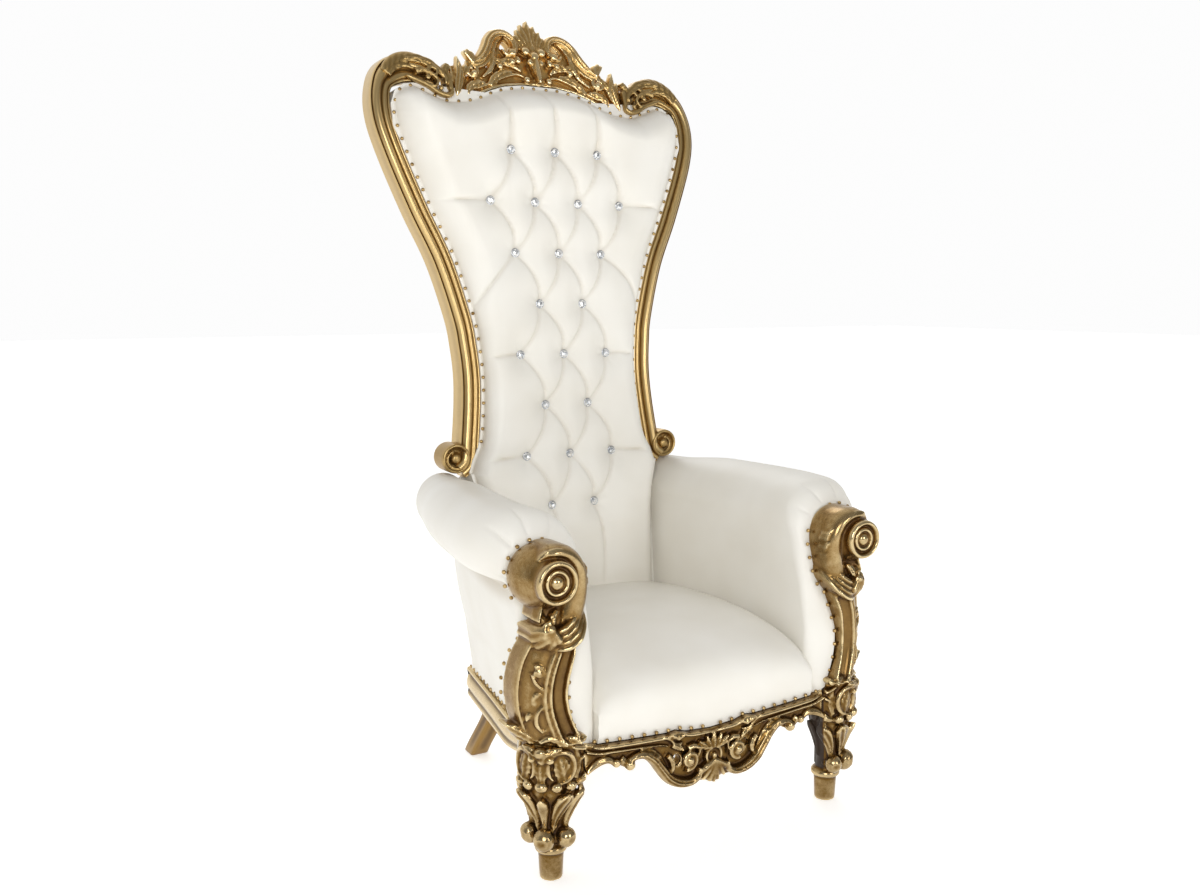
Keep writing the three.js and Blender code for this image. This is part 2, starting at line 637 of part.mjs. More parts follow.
function add(name, shape, look) {
  const { numProp, vertProperties, triVerts } = shape.getMesh();
  const geometry = new THREE.BufferGeometry();
  const at = new Float32Array((vertProperties.length / numProp) * 3);
  for (let i = 0; i < at.length; i += 1) at[i] = vertProperties[Math.floor(i / 3) * numProp + (i % 3)];
  geometry.setAttribute('position', new THREE.BufferAttribute(at, 3));
  geometry.setIndex(new THREE.BufferAttribute(new Uint32Array(triVerts), 1));
  geometry.computeVertexNormals();
  const mesh = new THREE.Mesh(geometry, new THREE.MeshStandardMaterial(look));
  mesh.name = name;
  throne.add(mesh);
}

/** Adds a piece of the right-hand side and its mirror image on the left. */
function addPair(name, shape, look) {
  add(`${name}_right`, shape, look);
  add(`${name}_left`, mirror(shape), look);
}

add('crest_rail', crest(), gilt);
addPair('stile', stile(), gilt);
add('back_pad', backPad(), leather);
add('back_panel', backPanel(), leather);
for (const [row, number, x, z] of BUTTONS) {
  add(`button_${row}_${number}`, solidButton(x, z), crystal);
}
add('seat_pad', seatPad(), leather);
addPair('arm_pad', armPad(), leather);
addPair('arm_post', armPost(), gilt);
addPair('front_leg', frontLeg(), gilt);
add('front_rail', frontRail(), gilt);
addPair('side_rail', sideRail(), giltDark);
addPair('back_leg', backLeg(), giltDark);
add('back_rail', backRail(), mahogany);

const bounds = new THREE.Box3().setFromObject(throne);
throne.position.y = -(bounds.min.y + bounds.max.y) / 2;

export default throne;
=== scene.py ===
"""A gilt throne with a buttoned back: carved frame, white upholstery, brass nails and crystal buttons.

Shapes are worked out in millimetres in the frame maker's setting-out: X across, Y from front to back with
zero at the middle of the front feet, Z up from the floor. set_down() turns them to metres in the part's
frame.
"""
import json
import math

import bpy
import numpy as np
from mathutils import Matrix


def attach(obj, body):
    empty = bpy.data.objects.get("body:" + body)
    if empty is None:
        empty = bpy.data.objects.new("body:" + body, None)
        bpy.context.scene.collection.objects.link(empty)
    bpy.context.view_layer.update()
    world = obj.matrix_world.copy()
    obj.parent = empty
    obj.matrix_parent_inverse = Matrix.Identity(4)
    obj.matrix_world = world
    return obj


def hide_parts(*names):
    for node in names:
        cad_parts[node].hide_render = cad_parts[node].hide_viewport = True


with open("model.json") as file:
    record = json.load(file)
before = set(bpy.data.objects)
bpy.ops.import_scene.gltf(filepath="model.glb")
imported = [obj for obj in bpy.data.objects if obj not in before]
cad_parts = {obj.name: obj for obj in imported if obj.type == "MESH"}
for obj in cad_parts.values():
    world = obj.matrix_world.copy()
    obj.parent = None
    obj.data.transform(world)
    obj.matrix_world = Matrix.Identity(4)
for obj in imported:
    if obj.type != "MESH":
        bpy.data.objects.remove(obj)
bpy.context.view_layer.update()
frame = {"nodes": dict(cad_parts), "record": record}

MM = 0.001
FEET_Y = next(m["pos_m"][1] for m in frame["record"]["mounts"] if m["name"] == "front_foot_right")

# ---- Setting-out, in millimetres ------------------------------------------------------------------

GAP = 0.3                        # left between two pieces that meet
FACE_Y, FACE_Z = 597, 753        # front face of the back frame at the bottom volutes
RAKE, SWEEP, SWEEP_FROM = 0.115, 0.00064, 1450
STILE_HALF, STILE_DEPTH = 24, 62
VOLUTE_X, VOLUTE_Z = 294, 753
JOINT_X = 237                    # half the crest, where the stiles begin
PAD_BACK, PANEL_BACK = 40, 58    # how far behind the frame's face the two covers end
PAD_FOOT, PAD_SIDE_END, PAD_HEAD = 234, 1585, 1655
SHOULDER_Z = 1500                # above it the covers stretch up to the crest and the stiles clear the joint
TUFT_X, TUFT_Z, TOP_ROW_Z = 119, 123, 1487
ROWS = (3, 4, 3, 2, 3, 2, 3, 2)
PILLOW, FUNNEL_R = 26, 34        # how far the cushions swell in front of the buttons, reach of the funnels
CUT, CUT_WIDTH, DIP, DIP_WIDTH = 7.2, 4.6, 5.0, 20    # a fold: a sharp cut in a wide dip
LAP, WALL_TOP = 233, 632         # half the seat's width at the back, top of the arms' inner walls
ROLL_Z, ROLL_R, CREASE_Z = 655, 75, 582
POST_BACK, POST_MIDDLE = 20, 382
LEG_X, LEG_BACK, LEG_TOP, RAIL_END, RAIL_TOP = 352, 52, 290, 620, 228
NAIL_R, NAIL_RISE, NAIL_STEP = 4.4, 3.0, 29

# Middle lines and edges of the frame's members as (x, z), half widths along a post.
STILE_LINE = [
    (283, 724), (262, 745), (253, 800), (244, 880), (241, 950), (246, 1020), (257, 1090), (296, 1222),
    (350, 1343), (403, 1480), (421, 1560), (412, 1625), (380, 1660), (338, 1670), (300, 1660), (270, 1640),
]
CREST_EDGE = [(0, 1655), (50, 1655), (100, 1647), (140, 1633), (170, 1619), (204, 1609), (245, 1604)]
CREST_GROUND = [(0, 1812), (30, 1792), (60, 1776), (92, 1772), (118, 1752), (150, 1722), (176, 1706),
                (200, 1690), (228, 1690), (245, 1664)]
POST_LINE = [(358, 290), (370, 322), (380, 360), (382, 396), (376, 436), (364, 474), (344, 512), (328, 556),
             (322, 600), (332, 640), (360, 666), (386, 666)]
POST_HALF = (52, 51, 52, 52, 51, 48, 34, 27, 23, 20, 18, 16)
APRON_LOW = [(0, 139), (28, 141), (62, 143), (86, 150), (106, 165), (124, 188), (148, 214), (174, 224),
             (190, 213), (206, 209), (218, 221), (238, 222), (252, 235), (278, 232), (300, 214)]
APRON_HIGH = [(0, 250), (60, 254), (88, 262), (110, 259), (200, 264), (270, 269), (300, 278)]


# ---- Small sums -----------------------------------------------------------------------------------

def clamp(t):
    """t held between 0 and 1."""
    return np.clip(t, 0, 1)


def ease(t):
    """3t^2 - 2t^3 of t held between 0 and 1: a start and an end without a jolt."""
    t = clamp(t)
    return t * t * (3 - 2 * t)


def mix(a, b, t):
    return a + (b - a) * t


def through(x, points):
    """Height of the broken line through the points, at x."""
    xs, ys = np.transpose(points)
    return np.interp(x, xs, ys)


def along(points, count):
    """Catmull-Rom curve through the points, at count places an equal length apart."""
    p = np.asarray(points, float)
    p = np.vstack([p[:1], p, p[-1:]])
    t = np.linspace(0, 1, 24, endpoint=False)[:, None]
    parts = []
    for a, b, c, d in zip(p, p[1:], p[2:], p[3:]):
        v, w = (c - a) / 2, (d - b) / 2
        parts.append((2 * b - 2 * c + v + w) * t**3 + (3 * c - 3 * b - 2 * v - w) * t**2 + v * t + b)
    fine = np.vstack(parts + [p[-1:]])
    run = np.concatenate([[0], np.cumsum(np.linalg.norm(np.diff(fine, axis=0), axis=1))])
    at = np.linspace(0, run[-1], count)
    return np.stack([np.interp(at, run, fine[:, i]) for i in range(p.shape[1])], axis=1)


def headings(line):
    """Unit direction of a line of points at each of them."""
    step = np.gradient(line, axis=0)
    return step / np.linalg.norm(step, axis=1, keepdims=True)


def face_y(z):
    """Front face of the back frame at height z: a straight rake, then a sweep by the square of the rise."""
    return FACE_Y + RAKE * (z - FACE_Z) + SWEEP * np.maximum(0, z - SWEEP_FROM) ** 2


# ---- Forms: (points, faces), faces a list of whole-number arrays ----------------------------------

def skin(rings):
    """Closed skin over rings of points (rings, around, 3): quads between rings and a fan over each end."""
    rows, around = rings.shape[:2]
    here = np.arange(rows * around).reshape(rows, around)
    beside = np.roll(here, -1, axis=1)
    quads = np.stack([here[:-1], beside[:-1], beside[1:], here[1:]], axis=-1).reshape(-1, 4)
    first, last = rows * around, rows * around + 1
    fans = [
        np.stack([beside[0], here[0], np.full(around, first)], axis=-1),
        np.stack([here[-1], beside[-1], np.full(around, last)], axis=-1),
    ]
    points = np.vstack([rings.reshape(-1, 3), rings[[0, -1]].mean(axis=1)])
    return points, [quads, np.vstack(fans)]


def joined(forms):
    """One form from several, the point numbers of each moved past those before it."""
    points, faces, start = [], [], 0
    for at, lists in forms:
        points.append(at)
        faces += [array + start for array in lists]
        start += len(at)
    return np.vstack(points), faces


def mirrored(form):
    """The form on the other side of x = 0, its faces turned round so that they still point outwards."""
    points, faces = form
    return points * (-1, 1, 1), [array[:, ::-1] for array in faces]


def moved(form, place):
    """The form with every point put through place(x, y, z), as whole columns."""
    points, faces = form
    return np.stack(np.broadcast_arrays(*place(*points.T)), axis=1), faces


def outward(form):
    """The form with its faces turned if its volume, the sum of its cells from the origin, is negative."""
    points, faces = form
    volume = 0.0
    for array in faces:
        a, b, c = points[array[:, 0]], points[array[:, 1]], points[array[:, -1]]
        volume += np.einsum("ij,ij->", a, np.cross(b, c))
        if array.shape[1] == 4:
            d = points[array[:, 2]]
            volume += np.einsum("ij,ij->", b, np.cross(d, c))
    return form if volume > 0 else (points, [array[:, ::-1] for array in faces])


# ---- Materials ------------------------------------------------------------------------------------

def paint(code):
    """Linear colour from an sRGB hex code: c / 12.92 near black, ((c + 0.055) / 1.055)^2.4 above."""
    srgb = np.array([int(code[i:i + 2], 16) for i in (1, 3, 5)]) / 255
    linear = np.where(srgb <= 0.04045, srgb / 12.92, ((srgb + 0.055) / 1.055) ** 2.4)
    return (*linear.tolist(), 1.0)


def node(tree, kind, sockets=None, **settings):
    """Adds a node: settings are its own, sockets gives each input a value or another node's output."""
    made = tree.nodes.new(kind)
    for name, value in settings.items():
        setattr(made, name, value)
    for name, value in (sockets or {}).items():
        if isinstance(value, bpy.types.NodeSocket):
            tree.links.new(value, made.inputs[name])
        else:
            made.inputs[name].default_value = value
    return made


def ramp(tree, factor, stops):
    """Colour ramp over factor, stops as (place, linear colour)."""
    made = node(tree, "ShaderNodeValToRGB", {"Fac": factor})
    elements = made.color_ramp.elements
    while len(elements) < len(stops):
        elements.new(0.5)
    for element, (place, colour) in zip(elements, stops):
        element.position, element.color = place, colour
    return made.outputs["Color"]


def finish(name):
    """New material with only its output; returns it, its tree and the output."""
    material = bpy.data.materials.new(name)
    material.use_nodes = True
    tree = material.node_tree
    tree.nodes.clear()
    return material, tree, node(tree, "ShaderNodeOutputMaterial")


def leaf_gilding(name, deep, mid, high, metal, sheen=0.16):
    """Imitation gold leaf on bole over carved hardwood, rubbed back and glazed with umber.

    The leaf is smooth and its colour is painted brighter on the high places, a painted highlight; the umber
    glaze stays in the hollows and dulls them, and the colour there is painted darker still as painted shade.
    The mesh attribute "hollow" says how deep a place lies: 0 on an edge, 0.5 on the flat, 1 in a recess."""
    material, tree, out = finish(name)
    place = node(tree, "ShaderNodeTexCoord").outputs["Object"]
    hollow = node(tree, "ShaderNodeAttribute", attribute_name="hollow").outputs["Fac"]
    patch = node(tree, "ShaderNodeTexNoise", {"Vector": place, "Scale": 38.0, "Detail": 5.0,
                                              "Roughness": 0.6})
    rub = node(tree, "ShaderNodeTexNoise", {"Vector": place, "Scale": 260.0, "Detail": 3.0})
    cloud = node(tree, "ShaderNodeMath", {0: patch.outputs["Fac"], 1: 0.18, 2: -0.09},
                 operation="MULTIPLY_ADD")
    worn = node(tree, "ShaderNodeMath", {0: rub.outputs["Fac"], 1: 0.08, 2: -0.04}, operation="MULTIPLY_ADD")
    sum_1 = node(tree, "ShaderNodeMath", {0: hollow, 1: cloud.outputs[0]}, operation="ADD")
    sum_2 = node(tree, "ShaderNodeMath", {0: sum_1.outputs[0], 1: worn.outputs[0]}, operation="ADD",
                 use_clamp=True)
    glaze_and_painted_light = sum_2.outputs[0]
    # Painted highlight on the edges and painted shade in the hollows, over the umber glaze.
    colour = ramp(tree, glaze_and_painted_light, [(0.18, paint(high)), (0.5, paint(mid)), (0.7, paint(deep)),
                                (0.94, paint("#2c1c0c"))])
    rough = node(tree, "ShaderNodeMapRange", {"Value": glaze_and_painted_light, "From Min": 0.3, "From Max": 0.85,
                                              "To Min": sheen, "To Max": 0.5})
    metallic = node(tree, "ShaderNodeMapRange", {"Value": glaze_and_painted_light, "From Min": 0.55, "From Max": 0.9,
                                                 "To Min": metal, "To Max": 0.25})
    crinkle = node(tree, "ShaderNodeTexNoise", {"Vector": place, "Scale": 620.0, "Detail": 4.0})
    bump = node(tree, "ShaderNodeBump", {"Height": crinkle.outputs["Fac"], "Strength": 0.2,
                                         "Distance": 0.0003})
    shader = node(tree, "ShaderNodeBsdfPrincipled", {
        "Base Color": colour, "Metallic": metallic.outputs[0], "Roughness": rough.outputs[0],
        "Normal": bump.outputs["Normal"]})
    tree.links.new(shader.outputs[0], out.inputs["Surface"])
    return material


def leather():
    """White coated leather (PU on cloth, pressed grain): satin, with a fine pebble of about 1.2 mm.

    The real pebble is 0.5 mm; it is drawn about twice as coarse so that it shows. The skin is painted darker
    and creamier where "hollow" says that it is pinched in: painted shade in the creases."""
    material, tree, out = finish("White_coated_leather_pebbled")
    place = node(tree, "ShaderNodeTexCoord").outputs["Object"]
    hollow = node(tree, "ShaderNodeAttribute", attribute_name="hollow").outputs["Fac"]
    pebble = node(tree, "ShaderNodeTexVoronoi", {"Vector": place, "Scale": 820.0, "Randomness": 1.0})
    wrinkle = node(tree, "ShaderNodeTexNoise",
                   {"Vector": place, "Scale": 120.0, "Detail": 5.0, "Roughness": 0.65})
    cloud = node(tree, "ShaderNodeTexNoise", {"Vector": place, "Scale": 7.0, "Detail": 2.0})
    tone = ramp(tree, cloud.outputs["Fac"], [(0.3, paint("#e9e5db")), (0.7, paint("#efece4"))])
    # Painted shade in the creases: the colour darkens to a creamy grey where the skin is pinched in.
    crease_shade = node(tree, "ShaderNodeMapRange", {"Value": hollow, "From Min": 0.52, "From Max": 0.95,
                                              "To Min": 0.0, "To Max": 1.0})
    colour = node(tree, "ShaderNodeMix", {0: crease_shade.outputs[0], 6: tone, 7: paint("#cfc6b6")},
                  data_type="RGBA")
    height = node(tree, "ShaderNodeMath", {0: pebble.outputs["Distance"], 1: 0.5, 2: wrinkle.outputs["Fac"]},
                  operation="MULTIPLY_ADD")
    bump = node(tree, "ShaderNodeBump", {"Height": height.outputs[0], "Strength": 0.3, "Distance": 0.00035})
    sheen = node(tree, "ShaderNodeMapRange", {"Value": wrinkle.outputs["Fac"], "To Min": 0.4, "To Max": 0.52})
    shader = node(tree, "ShaderNodeBsdfPrincipled", {
        "Base Color": colour.outputs[2], "Roughness": sheen.outputs[0], "IOR": 1.5,
        "Specular IOR Level": 0.42, "Coat Weight": 0.06, "Coat Roughness": 0.35,
        "Normal": bump.outputs["Normal"]})
    tree.links.new(shader.outputs[0], out.inputs["Surface"])
    return material


def brass_nails():
    """Antiqued brass upholstery nails, pressed and lacquered brown: bright crowns, dark skirts."""
    material, tree, out = finish("Antiqued_brass_nail")
    place = node(tree, "ShaderNodeTexCoord").outputs["Object"]
    age = node(tree, "ShaderNodeTexNoise", {"Vector": place, "Scale": 150.0, "Detail": 2.0})
    colour = ramp(tree, age.outputs["Fac"], [(0.3, paint("#7d5f33")), (0.62, paint("#cfb27c"))])
    rough = node(tree, "ShaderNodeMapRange", {"Value": age.outputs["Fac"], "To Min": 0.42, "To Max": 0.2})
    shader = node(tree, "ShaderNodeBsdfPrincipled", {
        "Base Color": colour, "Metallic": 1.0, "Roughness": rough.outputs[0]})
    tree.links.new(shader.outputs[0], out.inputs["Surface"])
    return material


def crystal():
    """Foil-backed cut glass: every facet is a small mirror under clear glass.

    Pale and grey patches at random are painted on as the facets' reflections.
    """
    material, tree, out = finish("Foil_backed_cut_glass")
    place = node(tree, "ShaderNodeTexCoord").outputs["Object"]
    # Painted reflections: random pale and grey patches standing in for facets catching the light.
    painted_facet_glint = node(tree, "ShaderNodeTexVoronoi", {"Vector": place, "Scale": 190.0})
    colour = ramp(tree, painted_facet_glint.outputs["Color"], [(0.25, paint("#bcc2c8")), (0.55, paint("#fafbfc"))])
    shader = node(tree, "ShaderNodeBsdfPrincipled", {
        "Base Color": colour, "Metallic": 0.72, "Roughness": 0.06, "IOR": 1.52, "Coat Weight": 1.0,
        "Coat Roughness": 0.02})
    tree.links.new(shader.outputs[0], out.inputs["Surface"])
    return material


def silver_rim():
    """Plated silver settings of the buttons, polished."""
    material, tree, out = finish("Silver_plated_setting")
    place = node(tree, "ShaderNodeTexCoord").outputs["Object"]
    haze = node(tree, "ShaderNodeTexNoise", {"Vector": place, "Scale": 400.0})
    rough = node(tree, "ShaderNodeMapRange", {"Value": haze.outputs["Fac"], "To Min": 0.12, "To Max": 0.3})
    shader = node(tree, "ShaderNodeBsdfPrincipled", {
        "Base Color": paint("#c9cbce"), "Metallic": 1.0, "Roughness": rough.outputs[0]})
    tree.links.new(shader.outputs[0], out.inputs["Surface"])
    return material


def mahogany():
    """Stained mahogany, planed and sealed: straight grain of 1 to 2 mm lines, dull satin."""
    material, tree, out = finish("Stained_mahogany_sealed")
    place = node(tree, "ShaderNodeTexCoord").outputs["Object"]
    long = node(tree, "ShaderNodeMapping", {"Vector": place, "Scale": (1.0, 1.0, 0.06)})
    grain = node(tree, "ShaderNodeTexNoise", {"Vector": long.outputs[0], "Scale": 420.0, "Detail": 5.0})
    band = node(tree, "ShaderNodeTexNoise", {"Vector": long.outputs[0], "Scale": 40.0, "Detail": 2.0})
    both = node(tree, "ShaderNodeMath", {0: grain.outputs["Fac"], 1: band.outputs["Fac"]},
                operation="MULTIPLY")
    colour = ramp(tree, both.outputs[0], [(0.12, paint("#1d0d07")), (0.4, paint("#4a2415"))])
    bump = node(tree, "ShaderNodeBump", {"Height": grain.outputs["Fac"], "Strength": 0.25,
                                         "Distance": 0.0003})
    shader = node(tree, "ShaderNodeBsdfPrincipled", {
        "Base Color": colour, "Roughness": 0.42, "IOR": 1.5, "Normal": bump.outputs["Normal"]})
    tree.links.new(shader.outputs[0], out.inputs["Surface"])
    return material


# Copies of one gilding, painted lighter or darker piece by piece: painted light on the crest and stiles,
# painted shade on the apron, front legs, side rails and back legs.
GILT = leaf_gilding("Gold_leaf_antiqued", "#54391a", "#896c3f", "#f4dfae", 0.97, 0.14)
GILT_PAINTED_LIT = leaf_gilding("Gold_leaf_warm_painted_lit", "#8a662f", "#cba566", "#ffeec2", 0.97)
GILT_PAINTED_SHADE = leaf_gilding("Gold_leaf_painted_shade", "#442b10", "#74582c", "#f4dcaa", 0.97, 0.14)
GILT_PAINTED_PALE = leaf_gilding("Gold_leaf_satin_painted_pale", "#735a30", "#a38653", "#ceb27c", 0.97, 0.32)
GILT_PLAIN = leaf_gilding("Gold_leaf_plain_painted_shade", "#4c371c", "#80683f", "#cdb480", 0.9, 0.24)
GILT_PAINTED_DEEP_SHADE = leaf_gilding("Gold_leaf_painted_deep_shade", "#2a180b", "#50381a", "#94743f", 0.7, 0.3)
LEATHER = leather()
BRASS = brass_nails()
CRYSTAL = crystal()
SILVER = silver_rim()
MAHOGANY = mahogany()


# ---- Making pieces --------------------------------------------------------------------------------

def hollows(mesh, rounds, reach, least=0.0):
    """Attribute "hollow" of a mesh's points: 0.5 on the flat, more in a hollow, less on an edge.

    It is 0.5 + (averaged place - place) . normal / reach, the mean of what a quarter of the rounds of
    averaging over neighbours and all of them give. It is never under least, one number or one a vertex."""
    count = len(mesh.vertices)
    at = np.empty(count * 3)
    mesh.vertices.foreach_get("co", at)
    at = at.reshape(-1, 3)
    normal = np.empty(count * 3, np.float32)
    mesh.vertex_normals.foreach_get("vector", normal)
    ends = np.empty(len(mesh.edges) * 2, np.int32)
    mesh.edges.foreach_get("vertices", ends)
    a, b = ends.reshape(-1, 2).T
    share = 1 / np.maximum(1, np.bincount(a, minlength=count) + np.bincount(b, minlength=count))
    smooth, total = at.copy(), np.zeros(count)
    for turn in range(rounds):
        smooth = np.stack([
            (np.bincount(a, smooth[b, i], count) + np.bincount(b, smooth[a, i], count)) * share
            for i in range(3)
        ], axis=1)
        if turn in (rounds // 4, rounds - 1):
            total += np.einsum("ij,ij->i", smooth - at, normal.reshape(-1, 3)) / 2
    depth = clamp(0.5 + total / (reach * MM))
    for turn in range(2):
        depth = (np.bincount(a, depth[b], count) + np.bincount(b, depth[a], count)) * share
    depth = np.maximum(depth, least).astype(np.float32)
    mesh.attributes.new("hollow", "FLOAT", "POINT").data.foreach_set("value", depth)


def set_down(name, form, look, stands_for=(), crease=180):
    """A piece of the throne from a form in millimetres: metres, feet at their place, riding on the body.

    Edges that turn by more than crease degrees stay sharp."""
    points, faces = form
    points = points * MM + (0, FEET_Y, 0)
    mesh = bpy.data.meshes.new(name)
    sizes = np.concatenate([np.full(len(f), f.shape[1]) for f in faces])
    mesh.vertices.add(len(points))
    mesh.vertices.foreach_set("co", points.astype(np.float32).ravel())
    mesh.loops.add(int(sizes.sum()))
    mesh.loops.foreach_set("vertex_index", np.concatenate([f.ravel() for f in faces]).astype(np.int32))
    mesh.polygons.add(len(sizes))
    mesh.polygons.foreach_set("loop_start", (np.cumsum(sizes) - sizes).astype(np.int32))
    mesh.update(calc_edges=True)
    mesh.polygons.foreach_set("use_smooth", np.full(len(sizes), True))
    if crease < 180:
        mesh.set_sharp_from_angle(angle=math.radians(crease))
    mesh.materials.append(look)
    piece = bpy.data.objects.new(name, mesh)
    bpy.context.scene.collection.objects.link(piece)
    if stands_for:
        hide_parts(*stands_for)
    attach(piece, "root")
    return piece


# ---- Inside of the back: deep buttoning -----------------------------------------------------------

FRAME_PATH = along(STILE_LINE, 500)
FRAME_WAY = headings(FRAME_PATH)


def stile_half(way):
    """Half the stile's width: two fifths wider over the shoulder, 5 mm narrower at the hooked end."""
    shoulder = ease((way - 0.84) / 0.06) * (1 - ease((way - 0.95) / 0.05))
    return STILE_HALF * (1 + 0.4 * shoulder) - 5 * ease((way - 0.95) / 0.05)


INNER_EDGE = FRAME_PATH + np.stack([-FRAME_WAY[:, 1], FRAME_WAY[:, 0]], axis=1) * stile_half(
    np.linspace(0, 1, 500))[:, None]
RISING = INNER_EDGE[(INNER_EDGE[:, 1] > 800) & (np.linspace(0, 1, 500) < 0.82)]
# The inside back's outline: its half width as (z, x), its top edge as (x, z).
PAD_SIDE = [(540, 233), (600, 236.5), (660, 247), (716, 262), (745, 252), (775, 236)] + [
    (z, x) for x, z in RISING[::8]]
PAD_TOP = CREST_EDGE + [(262, 1606), (300, 1620), (335, 1635), (360, 1630), (384, 1612), (400, 1572)]
MARGIN = 9                       # flat white edge that carries the nails


def pad_side(z):
    return through(z, PAD_SIDE)


def pad_top(x):
    return through(np.abs(x), PAD_TOP)


def button_y(z):
    """Depth of the buttons at height z: a parabola of the metres above 1 m, leaning out at the foot."""
    low = 520
    up = (np.maximum(z, low) - 1000) / 1000
    return 606.7 + 110.1 * up - 46.4 * up * up - 0.1 * np.maximum(0, low - z)


BUTTONS = [(row, i, (i - (count - 1) / 2) * TUFT_X, TOP_ROW_Z - row * TUFT_Z)
           for row, count in enumerate(ROWS) for i in range(count)]


def folds():
    """Every fold as (x0, z0, x1, z1, bow): diagonals between neighbouring buttons, pleats to the edges."""
    found = []
    spots = {(row, round(x, 1)) for row, _, x, _ in BUTTONS}
    for row, _, x, z in BUTTONS:
        for side in (-1, 1):
            if (row + 1, round(x + side * TUFT_X / 2, 1)) in spots:
                found.append((x, z, x + side * TUFT_X / 2, z - TUFT_Z, 16 if side > 0 else 11))
    found += [(x, TOP_ROW_Z, x - 14, float(pad_top(x)) - 4, 5) for x in (-TUFT_X, 0, TUFT_X)]
    for row in (1, 4, 6):
        outer, z = (ROWS[row] - 1) / 2 * TUFT_X, TOP_ROW_Z - row * TUFT_Z
        for side in (-1, 1):
            found.append((side * outer, z, side * (float(pad_side(z)) - 12), z - 6, 3))
    z = TOP_ROW_Z - 2 * TUFT_Z
    for side in (-1, 1):
        found.append((side * TUFT_X, z, side * 226, z - 126, 16 if side > 0 else -8))
    z = TOP_ROW_Z - 7 * TUFT_Z
    found += [(side * TUFT_X / 2, z, side * TUFT_X / 2 + 14, z - 200, 8) for side in (-1, 1)]
    return found


def fold_depth(x, z):
    """Depth of the folds at (x, z): a cut and a dip, each falling off exponentially away from its fold."""
    deepest = np.zeros_like(x)
    for x0, z0, x1, z1, bow in folds():
        level = abs(z1 - z0) < abs(x1 - x0)
        at, over, a0, a1, b0, b1 = (x, z, x0, x1, z0, z1) if level else (z, x, z0, z1, x0, x1)
        way = (at - a0) / (a1 - a0)
        held = clamp(way)
        centre = mix(b0, b1, held) + bow * 4 * held * (1 - held)
        lean = math.hypot(1, (b1 - b0) / (a1 - a0))
        beyond = np.abs(way - held) * abs(a1 - a0)
        distance = np.hypot((over - centre) / lean, beyond)
        fade = 1 - 0.75 * ease((held - 0.55) / 0.45) if level else 1
        depth = CUT * np.exp(-distance / CUT_WIDTH) + DIP * np.exp(-distance / DIP_WIDTH)
        deepest = np.maximum(deepest, fade * depth)
    return deepest


def buttoned(x, z):
    """How far the cushions stand in front of the buttons.

    Full height, less a funnel at each button that rises by 1 - exp(-(r / its reach)^1.45), with fine puckers
    round it, less the folds."""
    full = np.ones_like(x)
    pucker = np.zeros_like(x)
    for row, i, bx, bz in BUTTONS:
        r = np.hypot(x - bx, z - bz)
        full *= 1 - np.exp(-((r / FUNNEL_R) ** 1.45))
        turn = np.arctan2(z - bz, x - bx)
        pucker += np.cos(7 * turn + 1.7 * row + 2.3 * i) * np.exp(-(((r - 20) / 11) ** 2))
    sag = 1.3 * np.sin(x / 61 + 0.9) * np.sin(z / 83 + 0.4)
    return PILLOW * full + 0.7 * pucker + sag * full - fold_depth(x, z) * (0.35 + 0.65 * full)


def pad_front(x, z, side, top):
    """Front of the inside back: the buttoned cushions, rolled back to the frame at the edges.

    The roll is a quarter round below and the flatter 1 - w^2 higher up, w the way out over it. The folds run
    on over it and fade just before the nails."""
    inwards = np.maximum(side - np.abs(x), 0.01) * 0.93
    down = np.maximum(top - z, 0.01)
    edge = (inwards ** -4.0 + down ** -4.0) ** -0.25
    roll = mix(30, 66, ease((z - 700) / 500))
    way = 1 - clamp((edge - MARGIN) / roll)
    bulge = mix(np.sqrt(1 - way ** 2), 1 - way ** 2, ease((z - 1080) / 240))
    rim = np.where(z > 716, face_y(z) + 2, button_y(z) + 14)
    front = button_y(z) - buttoned(x, z) * (0.25 + 0.75 * clamp((z - 420) / 160))
    return mix(rim, front, bulge) + 0.8 * fold_depth(x, z) * (1 - bulge) * ease(bulge / 0.25)


def stretched(level, x):
    """Heights of the rows at x: those above the shoulder are stretched, the last lies along the crest."""
    above = SHOULDER_Z + (pad_top(x) - SHOULDER_Z) * (level - SHOULDER_Z) / (PAD_HEAD - SHOULDER_Z)
    return np.where(level > SHOULDER_Z, above, level)


def back_pad():
    """Closed cushion: at each height a ring of points along the front, a side, the back and a side.

    The front's columns stand closer towards the sides, at 1.3 a - 0.3 a^3."""
    fine_from = 470
    rows = np.concatenate([
        np.linspace(PAD_FOOT, fine_from, 18, endpoint=False), np.linspace(fine_from, PAD_HEAD, 375)])
    a = np.linspace(-1, 1, 164)
    side = pad_side(np.minimum(rows, PAD_SIDE_END))[:, None]
    x = a * (1.3 - 0.3 * a * a) * side
    z = stretched(rows[:, None] + 0 * x, x)
    front = np.stack([x, pad_front(x, z, pad_side(np.minimum(z, PAD_SIDE_END)), pad_top(x)), z], axis=-1)
    bx = np.linspace(1, -1, 9) * side
    bz = stretched(rows[:, None] + 0 * bx, bx)
    back = np.stack([bx, face_y(bz) + PAD_BACK, bz], axis=-1)
    deep = np.array([0.06, 0.25, 0.6, 0.94])[:, None]
    right = np.stack([mix(front[:, -1], back[:, 0], d) for d in deep], axis=1)
    left = np.stack([mix(front[:, 0], back[:, -1], d) for d in deep[::-1]], axis=1)
    return skin(np.concatenate([front, right, back, left], axis=1))


